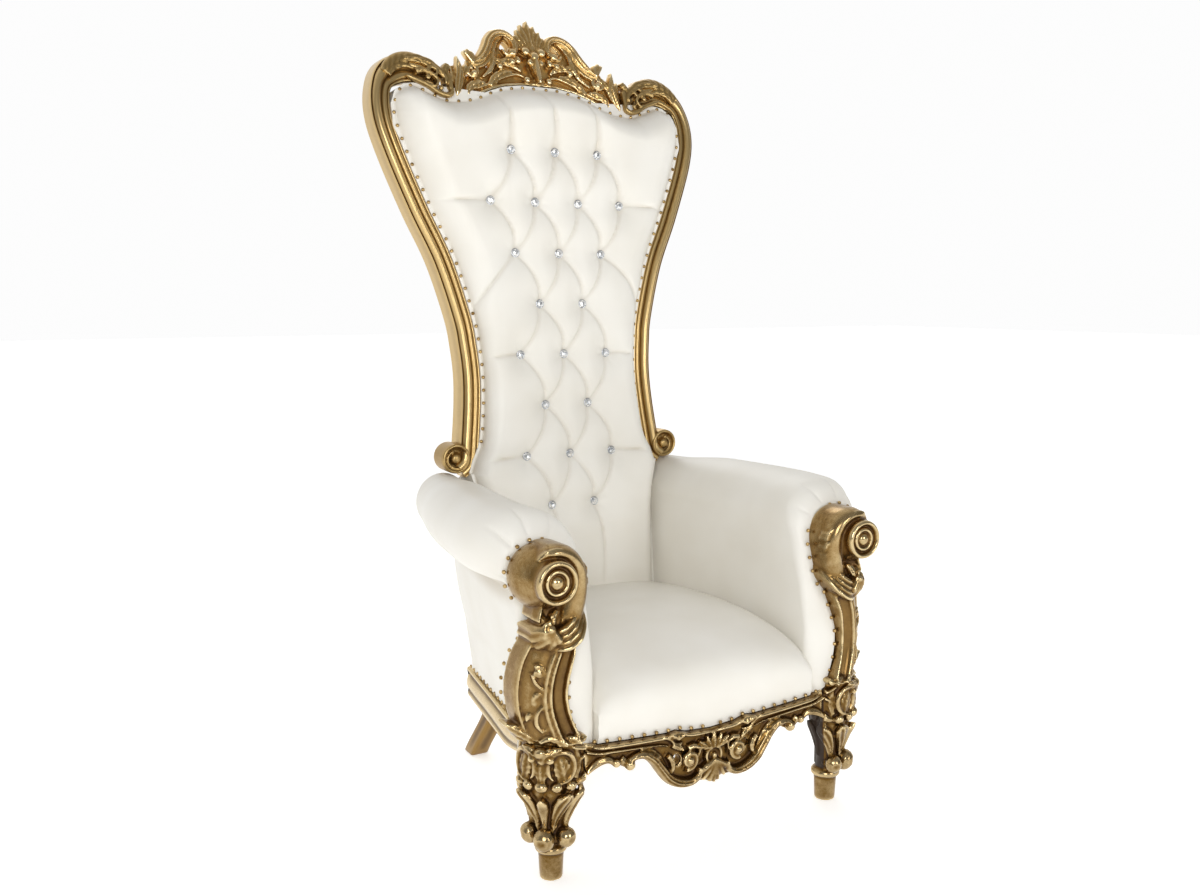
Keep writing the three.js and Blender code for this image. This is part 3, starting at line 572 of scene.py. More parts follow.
def back_panel():
    """Outside back: a tight cover, dished by 3 mm in the middle and rounded by 5 mm at its sides."""
    rows = np.linspace(PAD_FOOT, PAD_HEAD - 3, 120)
    below = [(PAD_FOOT, 262), (560, 292), (690, 304), (702, 258), (745, 250)]
    side = through(rows, below + PAD_SIDE[6:])[:, None]
    side = np.where(rows[:, None] > PAD_SIDE_END, pad_side(PAD_SIDE_END), side)
    s = np.linspace(-1, 1, 41)
    loops = []
    for set_back, order in ((PAD_BACK + 3, s), (PANEL_BACK, s[::-1])):
        x = order * side
        z = stretched(rows[:, None] + 0 * x, x)
        dish = 3 * (1 - order ** 4) if set_back == PANEL_BACK else 0
        soft = 5 * (np.abs(order) ** 12) if set_back == PANEL_BACK else 0
        loops.append(np.stack([x, face_y(z) + set_back - dish - soft + 0 * x, z], axis=-1))
    return skin(np.concatenate(loops, axis=1))


# ---- Arms and seat --------------------------------------------------------------------------------

def lap_x(z):
    """Half width of the inside back between the arms."""
    return LAP + 29 * clamp((z - 540) / 176) ** 2


def post_turn(z):
    """Outward turn of a post at height z: its depth grows by this share of the way from its middle."""
    return 0.5 * (1 - ease((z - 440) / 110))


POST_PATH = along(POST_LINE, 200)


def post_half(way):
    return np.interp(np.asarray(way) * (len(POST_HALF) - 1), range(len(POST_HALF)), POST_HALF)


def post_edge(z, side):
    """X of the post's edge at height z: side 1 is the inner one."""
    centre = np.interp(z, POST_PATH[:150, 1], POST_PATH[:150, 0])
    half = np.interp(z, POST_PATH[:150, 1], post_half(np.linspace(0, 1, 200))[:150])
    return centre - side * half


def arm_roll(y):
    """The roll at depth y: centre x, centre z and radius, smaller towards the back."""
    back = ease((y - 400) / 190)
    x = np.where(y < 180, mix(372, 396, ease((y + 20) / 200)),
                 mix(396, 322, (np.maximum(y - 180, 0) / 440) ** 1.5))
    return x, ROLL_Z - 5 * back, ROLL_R - 8.8 * back


def arm_inner(y):
    return mix(266, 233.3, ease((y - 180) / 340))


SCROLL_X, SCROLL_Z = 374, 614
WALL, CROWN, UNDER = 0.30, 0.50, 0.77    # shares of the way round an arm: wall top, top of the roll, crease


def arm_section(q, y):
    """Point at share q round the arm's section at depth y.

    Up the inner wall, a quarter ellipse to the top of the roll, a circle round the outside to the crease, and
    down the leaning outside panel."""
    cx, cz, r = arm_roll(y)
    backwards = ease((y - 180) / 340)
    lean = (lap_x(mix(PAD_FOOT, WALL_TOP, q / WALL)) - LAP) * backwards
    wall_z = mix(PAD_FOOT, WALL_TOP, clamp(q / WALL))
    above = mix(lap_x(WALL_TOP) - LAP, 18, ease((q - WALL) / 0.09)) * backwards
    wall_x = arm_inner(y) + np.where(q <= WALL, lean, above)
    up = clamp((q - WALL) / (CROWN - WALL)) * math.pi / 2
    quarter_x = cx - (cx - wall_x) * np.cos(up) ** 0.9
    quarter_z = WALL_TOP + (cz + r - WALL_TOP) * np.sin(up)
    turn = mix(math.pi / 2, math.radians(-64), clamp((q - CROWN) / (UNDER - CROWN)))
    low = clamp((q - UNDER) / (1 - UNDER))
    foot = mix(346, 262, y / 620)
    head = mix(412, 298, clamp(y / 620) ** 1.3)
    panel = mix(head, foot, low) + 7 * np.sin(math.pi * np.minimum(low * 1.6, 1)) - 4 * np.exp(-low / 0.04)
    x = np.select([q <= WALL, q <= CROWN, q <= UNDER], [wall_x, quarter_x, cx + r * np.cos(turn)], panel)
    z = np.select([q <= WALL, q <= CROWN, q <= UNDER], [wall_z, quarter_z, cz + r * np.sin(turn)],
                  mix(CREASE_Z - 2, PAD_FOOT, low))
    return x, z


def arm_mouth(q):
    """Front edge of the arm's cover: up the post's inner edge, round the scroll, down the outer edge."""
    z_in, z_out = mix(PAD_FOOT, 596, clamp(q / WALL)), mix(548, PAD_FOOT, clamp((q - UNDER) / (1 - UNDER)))
    turn = np.interp(q, [WALL, CROWN, UNDER], np.radians([168, 90, -66]))
    inner_y = through(z_in, [(PAD_FOOT, -36), (300, -40), (400, -40), (443, -31), (504, -16), (530, -6),
                             (575, 2), (600, 10)])
    lowest, scroll_r = LEG_TOP + 2, 59
    x = np.select([q <= WALL, q <= UNDER],
                  [post_edge(np.maximum(z_in, lowest), 1) + 3, SCROLL_X + scroll_r * np.cos(turn)],
                  post_edge(np.maximum(z_out, lowest), -1) - 4)
    z = np.select([q <= WALL, q <= UNDER], [z_in, SCROLL_Z + scroll_r * np.sin(turn)], z_out)
    outer_y = POST_BACK + post_turn(z_out) * (x - POST_MIDDLE) + 2
    y = np.select([q <= WALL, q <= UNDER], [inner_y, 12 + 8 * ease((q - WALL) / 0.1)], outer_y)
    return x, y, z


# Pleats that run out from an arm's scroll: (degrees round it from +X, depth, length).
PLEATS = ((50, 5.5, 84), (82, 6.5, 92), (116, 5.0, 70), (146, 3.0, 50), (-4, 3.6, 46))


def arm_pad():
    """The right arm's cover: rings from the mouth, swelling over a quarter round, then on to the back.

    A pleat takes its depth times exp(-d / 3.6) + 0.55 exp(-d / 15) away, d the mm to it round the roll, and
    fades over its length."""
    q = np.concatenate([
        np.linspace(0, WALL, 46, endpoint=False), np.linspace(WALL, UNDER, 92, endpoint=False),
        np.linspace(UNDER, 1, 34)])
    nx, ny, nz = arm_mouth(q)
    round_off = np.interp(q, [0, 0.22, 0.34, 0.5, 0.72, 0.78, 0.84, 1], [26, 30, 52, 66, 60, 40, 14, 10])
    turns = np.linspace(0, math.pi / 2, 22)[:, None]
    y = ny + round_off * (1 - np.cos(turns))
    bx, bz = arm_section(q + 0 * y, y)
    x, z = mix(nx, bx, np.sin(turns)), mix(nz, bz, np.sin(turns))
    depth = np.linspace(0, 1, 72)[1:, None]
    start = y[-1]
    y2 = mix(start, face_y(arm_section(q, start)[1]) + PAD_BACK, depth)
    x2, z2 = arm_section(q + 0 * y2, y2)
    x, y, z = (np.vstack(pair) for pair in ((x, x2), (y, y2), (z, z2)))
    turn = np.degrees(np.arctan2(z - SCROLL_Z, x - SCROLL_X))
    away = np.maximum(np.hypot(x - SCROLL_X, z - SCROLL_Z), 20)
    past = y - ny
    pleat = np.zeros_like(x)
    for centre, deep, length in PLEATS:
        gap = np.radians(np.abs(turn - centre)) * away
        shape = np.exp(-gap / 3.6) + 0.55 * np.exp(-gap / 15)
        pleat = np.maximum(pleat, deep * shape * (1 - ease((past - 6) / length)) * ease((past + 6) / 16))
    pleat *= (q > 0.26) & (q < 0.76)
    scale = 1 - pleat / away
    x, z = SCROLL_X + (x - SCROLL_X) * scale, SCROLL_Z + (z - SCROLL_Z) * scale
    return skin(np.stack([x, y, z], axis=-1))


def seat_pad():
    """The seat: a domed top falling to its sides by powers of the way out, over a rolled front edge.

    Each row goes from side to side; the rows run up the front, over the roll and back to the inside back. The
    first sixth of them leaves the apron's edge for the level front."""
    rows, columns, half, back = 96, 84, 268, 584
    foot_z, apron_y, level_z = 236.0, -19.0, 273
    v = np.linspace(0, 1, rows)[:, None]
    profile = along([(-39, 0), (-45, 26), (-51, 62), (-46, 92), (-28, 116), (4, 134), (70, 152), (160, 163),
                     (270, 165), (400, 158), (520, 143), (back, 132)], rows)
    u = np.linspace(-1, 1, columns)
    x = np.broadcast_to(u * half, (rows, columns))
    base = through(np.abs(x), APRON_HIGH) + 1
    reach = clamp(v * 6)
    fall = (20 * np.abs(u) ** 3 + 26 * np.abs(u) ** 14) * reach
    lift = profile[:, 1:2] * (1 + 0 * u)
    z = base * (1 - reach) + level_z * reach + lift - fall
    y = profile[:, 0:1] + 10 * np.abs(u) ** 8 * (1 - ease(v * 4)) * ease((lift - 18) / 40)
    top = np.stack([x, y, z], axis=-1)
    low = [np.stack([x[0], np.full(columns, depth), height + 0 * u], axis=-1)
           for depth, height in ((float(back), foot_z), (apron_y, foot_z), (apron_y, base[0]))]
    return skin(np.concatenate([top, low]).transpose(1, 0, 2))


# ---- Nails and buttons ----------------------------------------------------------------------------

def domes(spots, facing):
    """Nail heads: rings of eight at three heights of a low dome, stood on each spot along its facing."""
    spots, facing = np.asarray(spots, float), np.asarray(facing, float)
    facing = facing / np.linalg.norm(facing, axis=1, keepdims=True)
    across = np.cross(facing, (0.02, 0.03, 1.0))
    across /= np.linalg.norm(across, axis=1, keepdims=True)
    up = np.cross(facing, across)
    turn = np.linspace(0, 2 * math.pi, 8, endpoint=False)
    r = NAIL_R * np.array([0.9, 1.0, 0.72])
    h = np.array([-1.5, 0.5, 0.82 * NAIL_RISE])
    local = np.stack([
        r[:, None] * np.cos(turn), r[:, None] * np.sin(turn), np.broadcast_to(h[:, None], (3, 8))], axis=-1)
    local = local.reshape(-1, 3)
    basis = np.stack([across, up, facing], axis=1)
    points = spots[:, None] + np.einsum("ka,nab->nkb", local, basis)
    tips = spots + facing * NAIL_RISE
    feet = spots - facing * 1.5
    points = np.concatenate([points, tips[:, None], feet[:, None]], axis=1)
    here = np.arange(24).reshape(3, 8)
    beside = np.roll(here, -1, axis=1)
    quads = np.stack([here[:-1], beside[:-1], beside[1:], here[1:]], axis=-1).reshape(-1, 4)
    tris = np.vstack([
        np.stack([here[-1], beside[-1], np.full(8, 24)], axis=-1),
        np.stack([beside[0], here[0], np.full(8, 25)], axis=-1)])
    shift = (np.arange(len(spots)) * 26)[:, None, None]
    return points.reshape(-1, 3), [(quads + shift).reshape(-1, 4), (tris + shift).reshape(-1, 3)]


def spaced(line, step=NAIL_STEP):
    """Places a step apart along a line of points, half a step in from its ends."""
    run = np.concatenate([[0], np.cumsum(np.linalg.norm(np.diff(line, axis=0), axis=1))])
    count = max(2, round(run[-1] / step))
    at = (np.arange(count) + 0.5) * run[-1] / count
    return np.stack([np.interp(at, run, line[:, i]) for i in range(line.shape[1])], axis=1)


def back_nails():
    """Nails along the right half of the inside back's edge, facing forwards."""
    z = np.linspace(775, 1575, 160)
    side = np.stack([pad_side(z) - 5, z], axis=1)
    x = np.linspace(392, 2, 120)
    top = np.stack([x, pad_top(x) - 6.5], axis=1)
    line = np.vstack([side, top[6:]])
    at = spaced(line, 30.5)
    spots = np.stack([at[:, 0], face_y(at[:, 1]) + 0.5, at[:, 1]], axis=1)
    return spots, np.tile((0, -1, 0.115), (len(spots), 1))


# A cut stone from its back to its table: (radius, mm behind its middle, share of a facet it is turned by).
STONE_CUT = ((8.2, 4.0, 0), (9.2, 1.0, 0), (8.8, -1.4, 0.5), (6.2, -4.4, 0), (3.6, -5.6, 0.5))


def button_forms():
    """The buttons' cut stones, ten facets round, and their settings: a ring of oval section round each."""
    turn = np.linspace(0, 2 * math.pi, 10, endpoint=False)
    stones, rims = [], []
    for _, _, bx, bz in BUTTONS:
        by = float(button_y(bz)) - 3
        rings = []
        for r, h, half in STONE_CUT:
            a = turn + half * math.pi / 5
            rings.append(np.stack([bx + r * np.cos(a), by + h + 0 * a, bz + r * np.sin(a)], axis=-1))
        stones.append(outward(skin(np.array(rings))))
        big, small = np.meshgrid(np.linspace(0, 2 * math.pi, 16, endpoint=False),
                                 np.linspace(0, 2 * math.pi, 6, endpoint=False), indexing="ij")
        out = 9.9 + 1.5 * np.cos(small)
        rim = np.stack([bx + out * np.cos(big), by + 0.6 + 1.9 * np.sin(small), bz + out * np.sin(big)],
                       axis=-1)
        here = np.arange(96).reshape(16, 6)
        next_big, next_small = np.roll(here, -1, axis=0), np.roll(here, -1, axis=1)
        both = np.roll(next_big, -1, axis=1)
        quads = np.stack([here, next_big, both, next_small], axis=-1).reshape(-1, 4)
        rims.append(outward((rim.reshape(-1, 3), [quads])))
    return joined(stones), joined(rims)


# ---- Carving --------------------------------------------------------------------------------------
# Carved work is set out in relief coordinates (x, z, h): h is the height in front of the ground. Every
# element is a closed form; fused() makes one body of wood of them and smooths the tool marks.

def section(u, t, face):
    """Height of a member's front at u across and t along, as a share of its rise, by the kind of its face."""
    round_over = np.sqrt(np.maximum(0, 1 - u * u))
    if face == "round":
        return round_over
    if face == "fillets":                                  # hollow between two edge beads
        beads = 0.55 * np.exp(-(((np.abs(u) - 0.8) / 0.14) ** 2))
        return 0.35 + beads - 0.5 * clamp((np.abs(u) - 0.86) / 0.14)
    if face == "fluted":                                   # three flutes running along
        return round_over * (0.8 + 0.2 * np.cos(3 * math.pi * u))
    if face == "rope":                                     # slanting cuts
        return round_over * (0.7 + 0.3 * np.abs(np.cos(math.pi * (7 * t + 0.9 * u))))
    midrib = 0.42 * np.exp(-((u / 0.2) ** 2))              # leaf: midrib, dished blades, veins to the tip
    veins = 0.2 * np.abs(np.cos(math.pi * (4.2 * t - 1.5 * np.abs(u))))
    return (0.34 + midrib + 0.34 * np.abs(u) ** 1.5 + veins) * np.sqrt(np.maximum(0, 1 - np.abs(u) ** 5))


def width_at(t, taper):
    """Share of a member's half width at t along it: leaf, petal, horn, swell, or full with soft ends."""
    if taper == "leaf":
        lobes = 0.84 + 0.16 * np.abs(np.cos(math.pi * 4.2 * t))
        return (0.14 + 0.86 * np.sin(math.pi * (0.22 + 0.76 * t)) ** 0.8) * lobes
    if taper == "petal":
        belly = np.sin(math.pi * np.minimum(0.16 + 0.62 * t, 1)) ** 0.9
        return 0.3 + 0.7 * belly * np.sqrt(1 - 0.93 * t ** 6)
    if taper == "horn":
        return 1.0 - 0.72 * t
    if taper == "swell":
        return 0.55 + 0.45 * np.sin(math.pi * t)
    return np.minimum(1, 0.35 + 5 * np.minimum(t, 1 - t))


def spread(values, t):
    """One value or several spread evenly from t 0 to t 1."""
    values = np.atleast_1d(values)
    return np.interp(t, np.linspace(0, 1, len(values)), values)


def member(points, half, rise, face="leaf", taper="leaf", base=0.0, foot=10.0, curl=0.0, steps=34, across=15):
    """A carved member along a curve of (x, z): a section swept along it, as wide as half, rising by rise.

    half and base are one number or several spread evenly from start to end; base lifts the member, curl lifts
    its tip by the square of the way along; foot is how deep it is let into the ground."""
    line = along(points, steps)
    way = headings(line)
    t = np.linspace(0, 1, steps)[:, None]
    u = np.sin(np.linspace(-0.5, 0.5, across) * math.pi)[None, :]
    lift = spread(base, t) + curl * t * t
    wide = spread(half, t) * width_at(t, taper)
    body = 0.3 + 0.7 * np.sqrt(clamp(width_at(t, taper)))
    front = lift + rise * body * section(u, t, face)
    both = np.concatenate([u + 0 * t, np.tile([[0.92, 0.0, -0.92]], (steps, 1))], axis=1)
    high = np.concatenate([front, np.repeat(lift - foot, 3, axis=1)], axis=1)
    x = line[:, :1] - way[:, 1:] * wide * both
    z = line[:, 1:] + way[:, :1] * wide * both
    return skin(np.stack([x, z, high], axis=-1))


def lump(x, z, r, h, flat=1.0, tall=1.0):
    """Carved bead: a ball of radius r round height h, its width times flat and its height times tall."""
    a = np.linspace(0, math.pi, 9)[1:-1, None]
    b = np.linspace(0, 2 * math.pi, 14, endpoint=False)
    return skin(np.stack([x + r * flat * np.sin(a) * np.cos(b), z + r * tall * np.sin(a) * np.sin(b),
                          h + r * np.cos(a) + 0 * b], axis=-1))


def dish(x, z, profile, sides=40):
    """Turned disc facing forwards: its profile of (radius, height) spun round the place (x, z)."""
    r, h = (np.asarray(column, float)[:, None] for column in zip(*profile))
    b = np.linspace(0, 2 * math.pi, sides, endpoint=False)
    return skin(np.stack([x + r * np.cos(b), z + r * np.sin(b), h + 0 * b], axis=-1))


def spiral(x, z, outer, inner, start, turns, thick, h0, h1, steps=90):
    """Volute: a round rod on a spiral whose radius shrinks evenly in its logarithm, rising from h0 to h1."""
    t = np.linspace(0, 1, steps)
    r = outer * (inner / outer) ** t
    a = math.radians(start) + 2 * math.pi * turns * t
    line = np.stack([x + r * np.cos(a), z + r * np.sin(a)], axis=1)
    way = headings(line)
    rod = thick * (1 - 0.45 * t)[:, None]
    b = np.linspace(0, 2 * math.pi, 12, endpoint=False)
    across = rod * np.cos(b)
    return skin(np.stack([line[:, :1] - way[:, 1:] * across, line[:, 1:] + way[:, :1] * across,
                          mix(h0, h1, t)[:, None] + rod * np.sin(b)], axis=-1))


def slab(x, low, high, front, back):
    """Flat ground between a lower and an upper edge given along x, from the back to the front height."""
    low, high = low + 0 * x, high + 0 * x
    z = np.stack([low, high, high, low], axis=1)
    h = np.broadcast_to([front, front, back, back], z.shape)
    return skin(np.stack([np.broadcast_to(x[:, None], z.shape), z, h], axis=-1))


def arc(x, z, r, start, end, count=7):
    """Points of a circle's arc, angles in degrees from +X towards +Z."""
    a = np.radians(np.linspace(start, end, count))
    return np.stack([x + r * np.cos(a), z + r * np.sin(a)], axis=1)


def both_sides(forms):
    """The right-hand elements and their mirror images, in relief coordinates."""
    right = joined(forms)
    return joined([right, mirrored(right)])


def fused(name, form, grain):
    """One body of wood from overlapping elements: remeshed at grain mm, smoothed twice; returns the form."""
    points, faces = form
    rough = bpy.data.meshes.new(name)
    corners = [tuple(face) for array in faces for face in array.tolist()]
    rough.from_pydata((points * MM).tolist(), [], corners)
    block = bpy.data.objects.new(name, rough)
    bpy.context.scene.collection.objects.link(block)
    remesh = block.modifiers.new("fuse", "REMESH")
    remesh.mode, remesh.voxel_size = "VOXEL", grain * MM
    smooth = block.modifiers.new("sand", "SMOOTH")
    smooth.factor, smooth.iterations = 0.5, 2
    whole = block.evaluated_get(bpy.context.evaluated_depsgraph_get()).to_mesh()
    at = np.empty(len(whole.vertices) * 3, np.float32)
    whole.vertices.foreach_get("co", at)
    size = np.empty(len(whole.polygons), np.int32)
    whole.polygons.foreach_get("loop_total", size)
    loops = np.empty(len(whole.loops), np.int32)
    whole.loops.foreach_get("vertex_index", loops)
    first = np.cumsum(size) - size
    parts = [loops[first[size == n][:, None] + np.arange(n)] for n in (3, 4) if (size == n).any()]
    block.to_mesh_clear()
    bpy.data.objects.remove(block)
    bpy.data.meshes.remove(rough)
    return at.reshape(-1, 3).astype(float) / MM, parts


def leg_back(x, y, z):
    """Where a front leg is left in stained wood: 1 behind its two carved faces, 0 on them and on the foot."""
    turn = np.abs(np.arctan2(np.abs(x) - LEG_X + y, np.abs(x) - LEG_X - y))
    return ease((turn - 1.5) / 0.2) * clamp((z - 74) / 4)


def gild(name, form, look, stands_for, crease=180, bare=None):
    """A gilded piece, its hollows found over ten rounds; bare says where the wood is only stained."""
    piece = set_down(f"carved_{name}", form, look, stands_for, crease)
    hollows(piece.data, 10, 4.8, bare(*form[0].T) if bare else 0.0)


# ---- Crest ----------------------------------------------------------------------------------------

def crest():
    """Crest of the back: pierced ground under C-scrolls, acanthus, a flame at the top and a cluster of beads.

    Relief (x, z, h) is set down at y = frame face + 14 - h."""
    x = np.linspace(0, JOINT_X - GAP, 150)
    low, high = through(x, CREST_EDGE), through(x, CREST_GROUND)
    middle = through(x, [(0, 1716), (50, 1752), (70, 1755), (100, 1728), (128, 1704), (160, 1688),
                         (188, 1679), (237, 1660)])
    hole = sum(h * np.sqrt(np.maximum(0, 1 - ((x - cx) / w) ** 2)) for cx, w, h in (
        (70, 14, 16), (128, 12, 9), (188, 12, 12)))
    ground = [slab(x, low, middle - hole + 0.4, 0, -30), slab(x, middle + hole - 0.4, high, 0, -30)]
    edge = np.stack([x, low + 5], axis=1)[::12]
    band = [
        member(edge, 4.5, 9, "round", "full", base=2, foot=8, steps=90, across=9),
        member([(0, 1668), (26, 1676), (54, 1684), (84, 1676), (118, 1660), (150, 1646), (178, 1634)], 4, 8,
               "round", "full", base=2, steps=70, across=9),
        member([(0, 1660), (14, 1664), (30, 1671)], 6, 9, "round", "horn", base=3),
    ]
    scrolls = [
        member([(84, 1746), (70, 1734), (52, 1742), (46, 1760), (54, 1779), (74, 1789), (98, 1783),
                (116, 1766), (128, 1744), (144, 1722), (168, 1704)], (7, 10, 12, 13, 12), 18, "fluted",
               "full", base=(4, 10, 8), steps=80, across=19),
        member([(74, 1778), (98, 1768), (112, 1746), (128, 1722), (152, 1702), (182, 1694)],
               (8, 13, 15, 14, 9), 15, "fluted", "full", base=3, steps=60, across=19),
        member([(96, 1762), (108, 1742), (112, 1718), (124, 1690), (150, 1668)], 9, 13, "leaf", base=4),
        spiral(66, 1742, 14, 5, 10, -0.9, 5, 12, 16),
        spiral(178, 1680, 21, 8, 60, 1.15, 6.5, 6, 12),
        lump(172, 1676, 8, 12),
    ]
    knob = [member([(172, 1700), (176 + 6 * k, 1716), (184 + 9 * k, 1733 - 5 * abs(k))], 8, 14, "round",
                   "petal", base=8, curl=4) for k in (-1, 0, 1)]
    leaves = [
        member([(228, 1612), (219, 1642), (212, 1676), (216, 1712)], (7, 12, 13, 9, 3), 15, "fluted", "full",
               base=(3, 9), curl=5, steps=60, across=21),
        member([(224, 1628), (229, 1660), (234, 1690)], (6, 9, 8, 3), 11, "fluted", "full", base=3, steps=44),
        member([(216, 1630), (207, 1658), (196, 1684), (187, 1697)], (6, 10, 9, 3), 13, "fluted", "full",
               base=3, curl=4, steps=44),
    ]
    low_leaves = [
        member([(196, 1622), (186, 1640), (166, 1652), (146, 1654)], 11, 12, "leaf", base=4),
        member([(132, 1648), (116, 1668), (92, 1684), (66, 1690)], 12, 13, "leaf", base=3),
        member([(104, 1716), (84, 1712), (60, 1706), (40, 1692)], 10, 13, "leaf", base=3),
        member([(40, 1718), (56, 1722), (76, 1720), (96, 1706)], 9, 14, "leaf", base=5),
        member([(228, 1640), (224, 1662), (230, 1684)], 8, 12, "leaf", base=3),
    ]
    flame = [
        member([(3 * k, 1738), (9 * k, 1738 + 0.5 * r),
                (r * math.sin(0.225 * k), 1738 + r * math.cos(0.225 * k))],
               (6, 10, 10, 5), 15 - k, "leaf", "full", base=(8, 9 - k), curl=5, steps=40)
        for k, r in ((1, 82), (2, 73), (3, 64), (4, 56))]
    beads = [lump(57, 1740, 11.5, 14), lump(22, 1746, 11.5, 18), lump(62, 1716, 9, 12), lump(30, 1672, 9, 12),
             lump(98, 1700, 8, 10), lump(44, 1722, 8, 10, tall=1.3), lump(14, 1718, 9, 17)]
    centre = [
        member([(0, 1748), (0, 1780), (0, 1808), (0, 1829.5)], (8, 12, 11, 3), 17, "leaf", "full", base=9,
               curl=5, steps=44),
        member([(0, 1738), (0, 1712), (0, 1690), (0, 1672)], 15, 20, "leaf", base=8, curl=4),
        member([(0, 1728), (0, 1700), (0, 1664)], 9, 15, "round", "petal", base=16),
        lump(0, 1734, 13, 18),
    ]
    right = ground + band + scrolls + knob + leaves + low_leaves + flame + beads
    relief = joined([both_sides(right)] + centre)
    x, z, h = relief[0].T
    keep = np.minimum(np.abs(x), JOINT_X - GAP) * np.sign(x)
    z = np.maximum(z, through(np.abs(keep), CREST_EDGE) + GAP)
    return np.stack([keep, face_y(z) + 14 - h, z], axis=1), relief[1]


# ---- Stiles ---------------------------------------------------------------------------------------

# Round a stile from the middle of its back by its outer edge: (share of the half width, mm behind the face).
# Outer fillet, quirk, broad torus, deep quirk, shallow swell, quirk, inner fillet.
STILE_MOULDING = [
    (0, STILE_DEPTH), (-0.5, STILE_DEPTH), (-1, STILE_DEPTH), (-1, 51), (-1, 40), (-1, 29), (-1, 20),
    (-0.985, 11), (-0.95, 6), (-0.9, 4.5), (-0.855, 6), (-0.83, 9.5), (-0.79, 6), (-0.7, 1.5), (-0.57, -2),
    (-0.42, -4), (-0.26, -4), (-0.11, -2), (0.02, 2), (0.1, 5.5), (0.15, 8.5), (0.19, 7.5), (0.25, 5),
    (0.36, 3.6), (0.48, 3.2), (0.6, 3.6), (0.69, 5), (0.73, 7.5), (0.77, 6), (0.83, 4.2), (0.91, 4.4),
    (0.97, 7), (1, 12), (1, 24), (1, 37), (1, 50), (1, STILE_DEPTH), (0.5, STILE_DEPTH),
]


def stile():
    """The right stile: its moulding along the frame line, a dished volute at the foot, a carved end.

    The end is set out in relief (x, z, h) and stands at y = frame face - h."""
    steps = 190
    line = along(STILE_LINE, steps)
    way = headings(line)
    half = stile_half(np.linspace(0, 1, steps))[:, None]
    u, depth = (np.array(column)[None, :] for column in zip(*STILE_MOULDING))
    x, z = line[:, :1] - way[:, 1:] * half * u, line[:, 1:] + way[:, :1] * half * u
    x = np.where(z > SHOULDER_Z, np.maximum(x, JOINT_X + GAP), x)
    rail = skin(np.stack([x, face_y(z) + depth, z], axis=-1))
    bowl = dish(VOLUTE_X, VOLUTE_Z, [
        (0.5, -STILE_DEPTH), (33, -STILE_DEPTH), (35.5, -56), (36, -8), (35.5, 1), (33.5, 4.5), (30.5, 5),
        (28, 2.5), (26.5, -3), (23, -9), (18.5, -11.5), (14.5, -10), (12.5, -5), (11, 1), (7.5, 4.5),
        (3, 5.5), (0.5, 5.7)], sides=48)
    curl = spiral(VOLUTE_X, VOLUTE_Z, 31, 17, 150, 0.8, 4, 2, -6, steps=60)
    crook = [
        member([(352, 1650), (322, 1640), (298, 1630), (276, 1616), (254, 1611), (241, 1620), (240, 1634)], 7,
               11, "round", "full", base=2, foot=30, steps=60),
        member([(352, 1690), (322, 1694), (292, 1686), (268, 1670), (254, 1652), (256, 1638)], 12, 13, "leaf",
               base=4, foot=26, steps=50),
        member([(330, 1662), (308, 1666), (288, 1658), (276, 1644), (284, 1630), (296, 1634)], 9, 14,
               "fluted", "horn", base=6, foot=26, steps=50),
        spiral(284, 1664, 16, 6, -20, 1.0, 5, 10, 13, steps=50),
        member([(242, 1688), (250, 1676), (262, 1664)], 9, 12, "leaf", base=2, foot=20),
        member([(244, 1622), (242, 1644), (246, 1668)], 8, 10, "round", "full", base=0, foot=24),
        lump(300, 1650, 7, 10), lump(268, 1628, 6, 6),
    ]
    cuts = [member(arc(330, 1604, 92, 112, 34, 9), 15, 12, "rope", "swell", base=0, foot=12, steps=90,
                   across=13)]
    sprig = [member([(396, 1648), (380, 1668), (352, 1676), (330, 1668)], 10, 9, "leaf", base=2, foot=10)]
    end = moved(joined(crook + cuts + sprig), lambda x, z, h: (
        np.maximum(x, JOINT_X + GAP), face_y(z) - h, z))
    foot = moved(joined([bowl, curl]), lambda x, z, h: (x, face_y(VOLUTE_Z) - h, z))
    return joined([outward(rail), fused("stile_end", end, 2.2), fused("stile_foot", foot, 1.8)])


# ---- Arm posts ------------------------------------------------------------------------------------

# Across a post from its outer edge to its inner one: (share of the half width, mm in front of its middle).
POST_MOULDING = [
    (-1, -20), (-1, 18), (-0.985, 27), (-0.94, 33), (-0.885, 34), (-0.84, 31), (-0.81, 27), (-0.76, 30),
    (-0.6, 38), (-0.42, 44), (-0.27, 46), (-0.18, 45), (-0.15, 50), (-0.09, 54), (-0.03, 52), (0.0, 47),
    (0.035, 47), (0.07, 53), (0.13, 54), (0.19, 50), (0.25, 43), (0.38, 36), (0.55, 31), (0.7, 28),
    (0.78, 29), (0.81, 35), (0.87, 38), (0.93, 36), (0.98, 28), (1, 18), (1, -20),
]


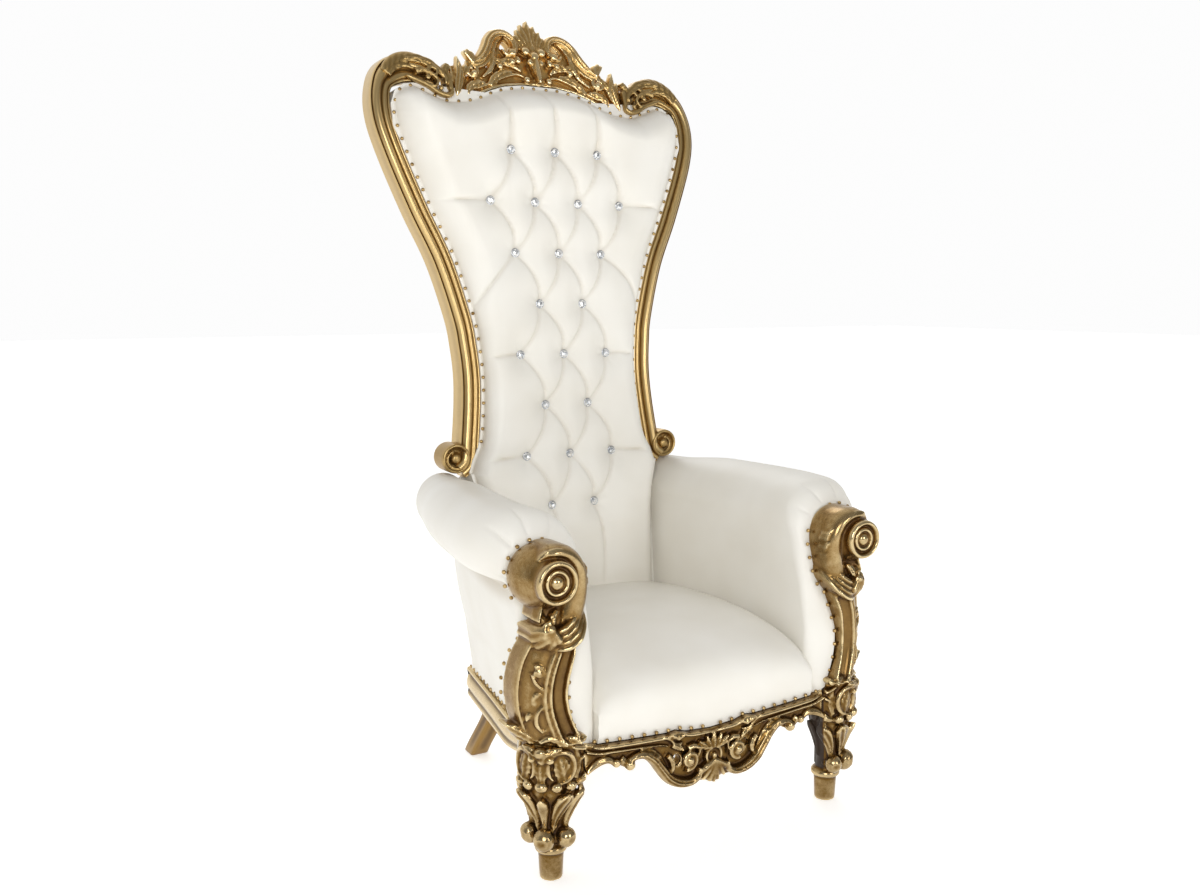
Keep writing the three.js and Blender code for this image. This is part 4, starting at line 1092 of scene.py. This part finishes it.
def arm_post():
    """The right arm post: moulded shaft, ribbed clasp, smooth stem curling over a barrel with a ringed disc.

    Relief (x, z, h) is set down at y = turn(z) * (x - middle) - h."""
    steps = 110
    line, share = along(POST_LINE[:8], steps), np.linspace(0, 1, steps)[:, None]
    way, half = headings(line), through(share, list(zip(np.linspace(0, 1, 8), POST_HALF)))
    u, h = (np.array(column)[None, :] for column in zip(*POST_MOULDING))
    half = half * np.where(u < 0, 0.94, 0.84)
    neck = np.where(h < 0, h, 18 + 30 * np.sqrt(np.maximum(0, 1 - u * u)))
    high = mix(h + 0 * share, neck, ease((line[:, 1:] - 480) / 40))
    shaft = skin(np.stack([line[:, :1] - way[:, 1:] * half * u, line[:, 1:] + way[:, :1] * half * u, high],
                          axis=-1))
    barrel = dish(SCROLL_X, SCROLL_Z, [
        (0.5, -20), (59, -20), (62, -12), (63, 0), (62.4, 11), (60.6, 22), (57.6, 32), (53.5, 42), (49, 51),
        (45, 58), (42.5, 63), (42, 69), (42.6, 75), (41.8, 81), (38.5, 84.5), (34.5, 84), (31.8, 79),
        (30.5, 73), (28.6, 71.5), (27, 74), (25, 79), (21.8, 81.5), (18.6, 79.5), (17, 73.5), (15.6, 72),
        (14.4, 75), (11.5, 80), (6.5, 83.5), (0.5, 84.6)], sides=64)
    stem = [
        member([(336, 506), (328, 536), (319, 568), (314, 600), (318, 630), (333, 653), (356, 665),
                (382, 665), (402, 655)], (29, 27, 24, 20, 18, 17, 14, 8), 30, "round", "full",
               base=(22, 28, 32, 34, 36, 38, 38, 34), foot=56, steps=80, across=17),
        member([(404, 652), (384, 666), (362, 668), (340, 656)], (3, 7, 8, 3), 6, "leaf", "full",
               base=(46, 60, 62, 58), foot=20),
        member([(300, 606), (303, 628), (315, 646)], 7, 8, "leaf", base=(40, 48, 52), foot=20),
        member([(298, 590), (300, 606), (312, 620)], 6, 8, "leaf", base=(40, 48, 54), foot=20),
        member([(300, 574), (302, 588), (313, 598)], 6, 7, "leaf", base=(40, 46, 54), foot=20),
    ]
    ribs = [member([(299 + 3 * k, 550 + 6 * k), (305 + 4 * k, 523 + 9 * k), (322 + 4 * k, 500 + 10.5 * k),
                    (346 + 3 * k, 485 + 11 * k), (370, 480 + 11 * k)], 6.2, 13, "round", "full",
                   base=(22, 40, 50, 52, 46), foot=52, steps=60, across=11) for k in range(4)]
    lobes = [
        member([(376, 520), (376 + 0.5 * r * math.sin(a), 520 - 0.5 * r * math.cos(a)),
                (376 + r * math.sin(a), 520 - r * math.cos(a))], 13.5, 24, "round", "petal",
               base=(44, 42, 22), foot=44, steps=30)
        for a, r in zip(np.radians((80, 52, 26, -2, -30)), (34, 40, 46, 51, 50))]
    cup = [
        member([(364, 592), (366, 566), (372, 540), (378, 520)], 30, 24, "fillets", "full", base=(24, 26, 30),
               foot=50, steps=40, across=21),
        member([(380, 526), (390, 540), (394, 558)], (7, 9, 5), 11, "leaf", "full", base=(46, 38, 22),
               foot=40),
        member([(372, 528), (368, 542), (356, 554)], (7, 8, 4), 11, "leaf", "full", base=(50, 46, 40),
               foot=40),
        spiral(380, 522, 13, 5, 100, -1.2, 5.5, 56, 62, steps=50), lump(380, 522, 6.5, 62),
    ]
    vine = [
        spiral(396, 436, 12, 4.5, 60, 1.2, 3.6, 45, 48, steps=50), lump(396, 436, 4.5, 48),
        member([(407, 432), (400, 414), (387, 398), (386, 376), (398, 356), (399, 334), (388, 314)], 4, 9,
               "round", "full", base=(43, 41), foot=10, steps=60, across=9),
        member([(388, 396), (398, 392), (406, 380)], 6, 9, "leaf", base=42, foot=10),
        member([(398, 352), (408, 350), (414, 338)], 6, 8, "leaf", base=36, foot=10),
        member([(390, 320), (380, 326), (374, 340)], 5, 8, "leaf", base=42, foot=10),
        lump(402, 376, 5, 42, tall=1.5),
    ]
    skirt = [
        member([(303, 300), (316, 296), (332, 292), (350, 294)], (6, 11, 9), 14, "leaf", "full",
               base=(14, 26, 40), foot=50),
        member([(396, 296), (410, 308), (426, 318), (447, 330)], 12, 15, "leaf", base=(24, 20), foot=30,
               curl=6),
        member([(404, 292), (416, 300), (428, 314)], 8, 12, "leaf", base=12, foot=24),
        member([(350, 292), (362, 302), (380, 306), (396, 298)], 8, 12, "leaf", base=46, foot=20),
        member([(320, 292), (334, 302), (350, 304)], 7, 11, "leaf", base=34, foot=20),
    ] + [lump(418 - 4 * k, 296 + 9 * k, 4.6, 12 + 3 * k) for k in range(4)]
    relief = joined([shaft, barrel] + stem + ribs + lobes + cup + vine + skirt)
    return fused("arm_post", moved(relief, lambda x, z, h: (
        x, post_turn(z) * (x - POST_MIDDLE) - h, np.maximum(z, LEG_TOP + GAP))), 2.1)


# ---- Front legs -----------------------------------------------------------------------------------

APRON_FACE, APRON_END = -44, 300
# A front leg's section up its height: (height, half width, reach in front, reach behind).
SHANK = [(66, 27, 27, 24), (78, 25, 24, 22), (100, 28, 26, 22), (124, 31, 27, 22), (150, 38, 35, 27),
         (186, 50, 46, 36), (200, 52, 47, 38), (212, 55, 50, 40), (240, 58, 52, 42), (270, 57, 52, 42),
         (290, 56, 52, 42)]
WRAP = 50                        # mm of set-out per radian round the leg


def leg_surface(s, z, h):
    """Place on the leg at s mm round from its front, height z, h outwards: an oval, deeper in front."""
    a = s / WRAP
    heights, wide, front, back = np.transpose(SHANK)
    w, b = np.interp(z, heights, wide), np.where(np.cos(a) > 0, np.interp(z, heights, front),
                                                 np.interp(z, heights, back))
    r = 1 / np.sqrt((np.sin(a) / w) ** 2 + (np.cos(a) / b) ** 2) + h
    x, y = r * np.sin(a), -r * np.cos(a)
    turn = math.sqrt(0.5)
    return (np.clip(LEG_X + turn * (x - y), APRON_END + 0.4, 600), np.minimum(turn * (x + y), LEG_BACK), z)


def front_leg():
    """A front leg at 45 degrees: turned foot, ball ankle, bell of leaves, ring of petals, cartouches."""
    z = np.linspace(66, 290, 70)[:, None]
    s = np.linspace(0, 2 * math.pi * WRAP, 60, endpoint=False)[None, :]
    body = skin(np.stack(leg_surface(s + 0 * z, z + 0 * s, 0 * (s + z)), axis=-1))
    foot = dish(LEG_X, 0, [(0.5, 0), (22.5, 0), (23, 2), (25.6, 53), (26, 56), (31, 58), (32.5, 61),
                           (32.5, 66), (31, 69), (29, 70.5), (27, 73), (20, 76), (0.5, 76)], sides=48)
    relief = [
        lump(0, 94, 25, 13),
        member([(-88, 92), (-40, 90), (0, 90), (40, 90), (88, 92)], 11, 8, "round", "full", base=0, foot=8,
               steps=60),
    ]
    fin = math.pi * WRAP
    for side in (-1, 1):
        relief += [
            lump(side * 54, 95, 22, 13),
            member([(side * 21, 106), (side * 27, 136), (side * 37, 166), (side * 47, 193)], (8, 13, 17, 13),
                   12, "fluted", "full", base=(2, 3, 6, 14), foot=8, steps=44, across=19),
            member([(side * 58, 106), (side * 66, 138), (side * 78, 168), (side * 88, 191)], (8, 13, 17, 13),
                   12, "fluted", "full", base=(2, 3, 6, 15), foot=8, steps=44, across=19),
            member([(side * 108, 106), (side * 114, 145), (side * 122, 190)], (10, 16, 16), 9, "fluted",
                   "full", base=(0, 2, 7), foot=6, across=19),
            spiral(side * 88, 186, 12, 5, 90, side * 1.1, 5, 9, 14, steps=40), lump(side * 88, 186, 6, 14),
            lump(side * 26, 207, 11, 6, flat=0.9), lump(side * 52, 206, 11, 6, flat=0.9),
            lump(side * 78, 206, 10, 5, flat=0.9), lump(side * 104, 206, 10, 3, flat=0.9),
            member([(side * (34 + 23 * math.cos(a)), 247 + 31 * math.sin(a))
                    for a in np.linspace(-1.9, 4.1, 12)],
                   5.2, 9, "round", "full", base=2, foot=8, steps=70, across=9),
            member([(side * 40, 222), (side * 36, 246), (side * 30, 274)], 17, 9, "leaf", base=1, foot=8,
                   steps=40),
            member([(side * 66, 216), (side * 72, 246), (side * 64, 280)], 9, 10, "leaf", base=0, foot=8),
            member([(side * 98, 216), (side * 92, 250), (side * 98, 284)], 16, 6, "leaf", base=0, foot=8),
            member([(side * 4, 270), (side * 18, 280), (side * 34, 287)], 9, 13, "leaf", base=5, foot=10),
            lump(side * 15, 264, 7, 9),
        ]
    relief += [
        member([(0, 104), (0, 132), (0, 160), (0, 184)], (6, 10, 13, 9), 13, "round", "full",
               base=(2, 3, 5, 11), foot=8, steps=44),
        lump(0, 208, 12, 7), member([(0, 218), (0, 240), (0, 262)], 10, 12, "leaf", base=3, foot=8),
        lump(0, 278, 11, 8), member([(0, 258), (-8, 272), (-14, 288)], 8, 12, "leaf", base=6, foot=8),
        member([(fin, 80), (fin, 150), (fin, 280)], 14, 4, "round", "swell", foot=6),
    ]
    carved = joined(relief)
    carved = (np.stack(leg_surface(*carved[0].T), axis=1), carved[1])
    peg = moved(foot, lambda x, across, up: (x, across, np.maximum(up, 0)))
    ends = np.linspace(300.6, 332, 14)
    shoulder = joined([
        slab(ends, through(ends, [(300, 213), (332, 194)]), through(ends, [(300, 278), (332, 288)]), 0, -50),
        member([(292, 223), (306, 213), (322, 207), (338, 206)], (9, 8, 6), 11, "fluted", "full", base=2),
        member([(290, 273), (310, 274), (334, 282)], 4.2, 9, "round", "full", base=3, across=9),
        member([(290, 260), (306, 256), (322, 244), (334, 226)], 4, 8, "round", "full", base=2, across=9),
    ])
    shoulder = moved(shoulder, lambda x, z, h: (np.maximum(x, APRON_END + 0.4), APRON_FACE - h, z))
    return fused("front_leg", joined([body, carved, shoulder, peg]), 2.1)


# ---- Front rail -----------------------------------------------------------------------------------

def front_rail():
    """The apron: pierced ground under a moulded top edge, long C-scrolls, side volutes, a shell and a plume.

    Relief (x, z, h) is set down at y = apron face - h."""
    x = np.linspace(0, APRON_END - GAP, 170)
    low, high = through(x, APRON_LOW), through(x, APRON_HIGH) - GAP
    middle = through(x, [(0, 200), (84, 198), (140, 235), (300, 250)])
    hole = 11 * np.sqrt(np.maximum(0, 1 - ((x - 84) / 9) ** 2))
    ground = [slab(x, low, middle - hole + 0.4, 0, -24), slab(x, middle + hole - 0.4, high, 0, -24)]
    top = np.stack([x, high - 4.5], axis=1)[::10]
    under = np.array([(299, 262), (270, 253), (236, 250), (200, 247), (160, 244), (128, 240), (108, 234)])
    mouldings = [
        member(top, 4.2, 9, "round", "full", base=3, foot=10, steps=110, across=9),
        member(under, 3.6, 7, "round", "horn", base=2, foot=8, steps=70, across=9),
        member([(108, 262), (96, 254), (84, 250), (72, 256), (66, 264)], 6, 11, "leaf", base=6, foot=10),
        member([(124, 258), (108, 250), (94, 238), (74, 236)], 5, 9, "round", "horn", base=3, foot=8),
    ]
    scrolls = [
        member([(299, 218), (286, 228), (268, 236), (250, 236), (236, 226)], 9, 11, "fluted", "swell", base=2,
               steps=44),
        lump(232, 226, 9, 6), lump(219, 226, 7, 5),
        member([(222, 234), (212, 222), (200, 216)], 9, 11, "leaf", base=3),
        lump(202, 217, 11.5, 8),
        member([(204, 226), (186, 231), (166, 229), (146, 214), (128, 190), (110, 168), (84, 153), (56, 150),
                (38, 160), (34, 176)], 11, 15, "fluted", "swell", base=(4, 8), steps=90),
        member([(176, 236), (152, 232), (132, 214), (118, 192), (104, 176)], 8, 11, "leaf", base=2, steps=50),
        member([(140, 222), (136, 200), (118, 176), (102, 166)], 9, 12, "leaf", base=5),
        member([(112, 216), (102, 204), (100, 188), (108, 174)], 7, 12, "leaf", base=5),
        spiral(61, 197, 20, 8, -70, -1.25, 7, 8, 14), lump(61, 197, 9, 13),
        member([(64, 222), (48, 226), (36, 216), (38, 200)], 7, 12, "fluted", "horn", base=5),
        member([(100, 236), (84, 228), (72, 218)], 8, 11, "leaf", base=3),
    ]
    shell = [
        member([(0, 188), (25 * math.sin(a), 188 - 25 * math.cos(a)),
                (49 * math.sin(a), 188 - 49 * math.cos(a))], 7.5, 12, "round", "petal", base=(10, 5), foot=12)
        for a in np.radians((12, 34, 56))]
    shell_middle = [
        member([(0, 188), (0, 164), (0, 137)], 8, 12, "round", "petal", base=(10, 5), foot=12),
        dish(0, 196, [(0.5, -10), (21, -8), (22.5, 6), (20.5, 13), (17, 14), (14, 9), (9, 7), (6, 11),
                      (0.5, 13)], 36),
        lump(0, 196, 6, 12),
        member([(0, 212), (0, 232), (0, 247)], 8, 13, "leaf", base=6),
    ]
    plume = [member([(5 + 2 * k, 210), (12 + 10 * k, 224 - 2 * k), (18 + 19 * k, 240 - 8 * k)], 6.5, 13,
                    "leaf", base=5, curl=3) for k in range(3)]
    relief = joined([both_sides(ground + mouldings + scrolls + shell + plume)] + shell_middle)
    return fused("front_rail", moved(relief, lambda x, z, h: (
        np.clip(x, 0.4 - APRON_END, APRON_END - 0.4), APRON_FACE - h,
        np.minimum(z, through(np.abs(x), APRON_HIGH)))), 2.1)


# ---- Plain rails and back legs --------------------------------------------------------------------

# Side rail from its inner bottom corner round the outside: (mm out from the face, share of its height).
RAIL_MOULDING = [
    (-32, 0), (-32, 1), (-16, 1), (-5, 1), (-1.5, 0.985), (0, 0.95), (0, 0.9), (-1.5, 0.87), (-4.5, 0.84),
    (-5.5, 0.8), (-4, 0.76), (-1.5, 0.7), (0.3, 0.6), (1.2, 0.48), (0.6, 0.38), (-1.2, 0.31), (-4, 0.26),
    (-3.6, 0.21), (-1.2, 0.16), (-0.6, 0.1), (-2, 0.04), (-6, 0), (-18, 0),
]


def rail_x(y):
    """Half the width over the side rails at depth y."""
    return mix(LEG_X, 266, (y - LEG_BACK) / (RAIL_END - LEG_BACK))


def side_rail():
    """Side rail: a wavy cyma moulding whose lower edge drops behind the front leg."""
    y = np.linspace(LEG_BACK + GAP, RAIL_END, 90)[:, None]
    out, up = (np.array(column)[None, :] for column in zip(*RAIL_MOULDING))
    low = 152 + 52 * (1 - ease((y - 60) / 260))
    wave = 1.6 * np.sin((y - 60) / 46) * (1 - np.abs(2 * up - 1)) * (out > -20)
    return skin(np.stack([rail_x(y) + out, y + 0 * out, mix(low, RAIL_TOP, up) + wave], axis=-1))


def back_leg():
    """Plain raked back leg: a square section with rounded corners, splaying back and out below the rail."""
    z = np.concatenate([np.linspace(225, 3, 40), [0.0]])[:, None]
    splay = clamp((150 - z) / 150)
    x, y = 216 + 25 * ease(splay), 553 + 77 * splay ** 1.3
    shrink = np.where(z < 1, 0.94, 1)
    a = np.linspace(0, 2 * math.pi, 32, endpoint=False)[None, :] + math.pi / 32
    square = 1 / np.maximum(np.abs(np.cos(a)), np.abs(np.sin(a)))
    r = np.minimum(square, 1.33)
    return skin(np.stack([x + 23 * shrink * r * np.cos(a), y + 24 * shrink * r * np.sin(a), z + 0 * a],
                         axis=-1))


# ---- The other nails ------------------------------------------------------------------------------

def front_nails():
    """Nails along the front rail, a post's edges, its scroll and a side rail: the right half."""
    spots, facing = [], []

    def row(line, way):
        at = spaced(np.asarray(line, float))
        spots.append(at)
        facing.append(np.tile(way, (len(at), 1)) if np.ndim(way) == 1 else way(at))

    x = np.linspace(8, 292, 80)
    row(np.stack([x, np.full(80, -45.5), through(x, APRON_HIGH) + 7], axis=1), np.array((0, -1, 0.05)))
    z = np.linspace(304, 640, 100)
    bend = through(z, [(500, 300), (540, 291), (575, 286), (600, 284.5), (622, 288), (640, 297)])
    x = np.where(z < 500, post_edge(z, 1) + 2, bend)
    y = through(z, [(300, -38), (400, -42), (443, -33), (504, -21), (540, -10), (575, -2), (600, 2), (622, 7),
                    (640, 11)])
    row(np.stack([x, y, z], axis=1), np.array((-0.6, -1, 0)))
    a = np.radians(np.linspace(140, -52, 90))
    ring = np.stack([SCROLL_X + 66 * np.cos(a), np.full(90, 16.0), SCROLL_Z + 66 * np.sin(a)], axis=1)
    row(ring, lambda at: np.stack([at[:, 0] - SCROLL_X, np.full(len(at), -60.0), at[:, 2] - SCROLL_Z],
                                  axis=1))
    z = np.linspace(540, 306, 70)
    x = post_edge(z, -1)
    row(np.stack([x - 2, POST_BACK + post_turn(z) * (x - POST_MIDDLE) + 7, z], axis=1),
        np.array((1, -0.35, 0)))
    y = np.linspace(62, 606, 120)
    row(np.stack([mix(346, 262, y / 620) + 1.5, y, np.full(120, RAIL_TOP + 10.0)], axis=1),
        np.array((1, 0.13, -0.1)))
    return np.vstack(spots), np.vstack(facing)


# ---- The throne -----------------------------------------------------------------------------------

def upholster(name, form, stands_for):
    piece = set_down(name, outward(form), LEATHER, stands_for, crease=60)
    hollows(piece.data, 14, 9)


upholster("inside_back", back_pad(), ["back_pad"])
panel = set_down("outside_back_cover", outward(back_panel()), LEATHER, ["back_panel"],
                 crease=60)
hollows(panel.data, 4, 9)
upholster("seat", seat_pad(), ["seat_pad"])
right_arm = outward(arm_pad())
upholster("arm_right", right_arm, ["arm_pad_right"])
upholster("arm_left", mirrored(right_arm), ["arm_pad_left"])

stones, rims = button_forms()
set_down("crystal_buttons", stones, CRYSTAL, [f"button_{r + 1}_{i + 1}" for r, i, _, _ in BUTTONS],
         crease=1)
set_down("button_settings", rims, SILVER)
spots, facing = (np.vstack(pair) for pair in zip(back_nails(), front_nails()))
nails = domes(np.vstack([spots, spots * (-1, 1, 1)]), np.vstack([facing, facing * (-1, 1, 1)]))
set_down("upholstery_nails", outward(nails), BRASS)

# The crest in gilding painted lighter, the apron in gilding painted darker: painted light and shade.
gild("crest", fused("crest", crest(), 2.2), GILT_PAINTED_LIT, ["crest_rail"])
gild("apron", front_rail(), GILT_PAINTED_SHADE, ["front_rail"])
# Stiles in gilding painted paler; front legs, side rails and back legs in gilding painted darker as shade.
for name, form, look, slot, crease, bare in (
        ("stile", stile(), GILT_PAINTED_PALE, "gilt_wood", 60, None),
        ("arm_post", arm_post(), GILT, "gilt_wood", 180, None),
        ("front_leg", front_leg(), GILT_PAINTED_SHADE, "gilt_wood", 180, leg_back),
        ("side_rail", outward(side_rail()), GILT_PLAIN, "gilt_wood_plain", 60, None),
        ("back_leg", outward(back_leg()), GILT_PAINTED_DEEP_SHADE, "gilt_wood_plain", 60, None)):
    gild(f"{name}_right", form, look, [f"{name}_right"], crease, bare)
    gild(f"{name}_left", mirrored(form), look, [f"{name}_left"], crease, bare)
rail = frame["nodes"]["back_rail"]
rail.data.materials.clear()
rail.data.materials.append(MAHOGANY)

# ---- Camera, floor and light ----------------------------------------------------------------------

camera = bpy.data.objects.new("camera", bpy.data.cameras.new("camera"))
camera.data.lens, camera.data.sensor_width = 33, 36
camera.location = (-1.28, FEET_Y - 1.824, 1.136)
camera.rotation_euler = (math.radians(82.16), 0, math.radians(-29.68))
bpy.context.scene.collection.objects.link(camera)
bpy.context.scene.camera = camera

floor_mesh = bpy.data.meshes.new("studio_floor")
floor_mesh.from_pydata([(-30, -30, 0), (30, -30, 0), (30, 30, 0), (-30, 30, 0)], [], [(0, 1, 2, 3)])
floor = bpy.data.objects.new("studio_floor", floor_mesh)
bpy.context.scene.collection.objects.link(floor)
floor_look, floor_tree, floor_out = finish("Pale_studio_floor")
floor_shader = node(floor_tree, "ShaderNodeBsdfPrincipled", {
    "Base Color": paint("#f4f4f3"), "Roughness": 0.7, "Emission Color": paint("#ffffff"),
    "Emission Strength": 0.46})
floor_tree.links.new(floor_shader.outputs[0], floor_out.inputs["Surface"])
floor_mesh.materials.append(floor_look)

world = bpy.data.worlds.new("studio")
world.use_nodes = True
bpy.context.scene.world = world
background = world.node_tree.nodes["Background"]
background.inputs["Color"].default_value = paint("#ffffff")
way = node(world.node_tree, "ShaderNodeSeparateXYZ", {
    "Vector": node(world.node_tree, "ShaderNodeTexCoord").outputs["Generated"]})
behind = node(world.node_tree, "ShaderNodeMapRange", {
    "Value": way.outputs["Y"], "From Min": -0.15, "From Max": 0.48, "To Min": 0.24, "To Max": 0.98})
above = node(world.node_tree, "ShaderNodeMapRange", {
    "Value": way.outputs["Z"], "From Min": 0.35, "From Max": 0.85, "To Min": 0.0, "To Max": 0.15})
glow = node(world.node_tree, "ShaderNodeMath", {0: behind.outputs[0], 1: above.outputs[0]}, operation="ADD")
world.node_tree.links.new(glow.outputs[0], background.inputs["Strength"])


def soft_light(name, place, target, size, power):
    """Square area light at place, turned so that its -Z points at the target."""
    lamp = bpy.data.objects.new(name, bpy.data.lights.new(name, "AREA"))
    lamp.data.size, lamp.data.energy = size, power
    way = np.asarray(target, float) - place
    lamp.location = place
    tilt, turn = math.atan2(math.hypot(way[0], way[1]), -way[2]), math.atan2(way[1], way[0]) - math.pi / 2
    lamp.rotation_euler = (tilt, 0, turn)
    bpy.context.scene.collection.objects.link(lamp)


soft_light("key", (-2.6, -4.2, 2.3), (0, 0, 0.9), 2.0, 84)
soft_light("fill", (1.4, -5.2, 2.0), (0, 0, 0.9), 1.6, 52)
soft_light("back_rim", (1.5, 3.0, 3.0), (0, 0, 1.0), 1.6, 15)
bpy.context.scene.view_settings.view_transform = "Standard"
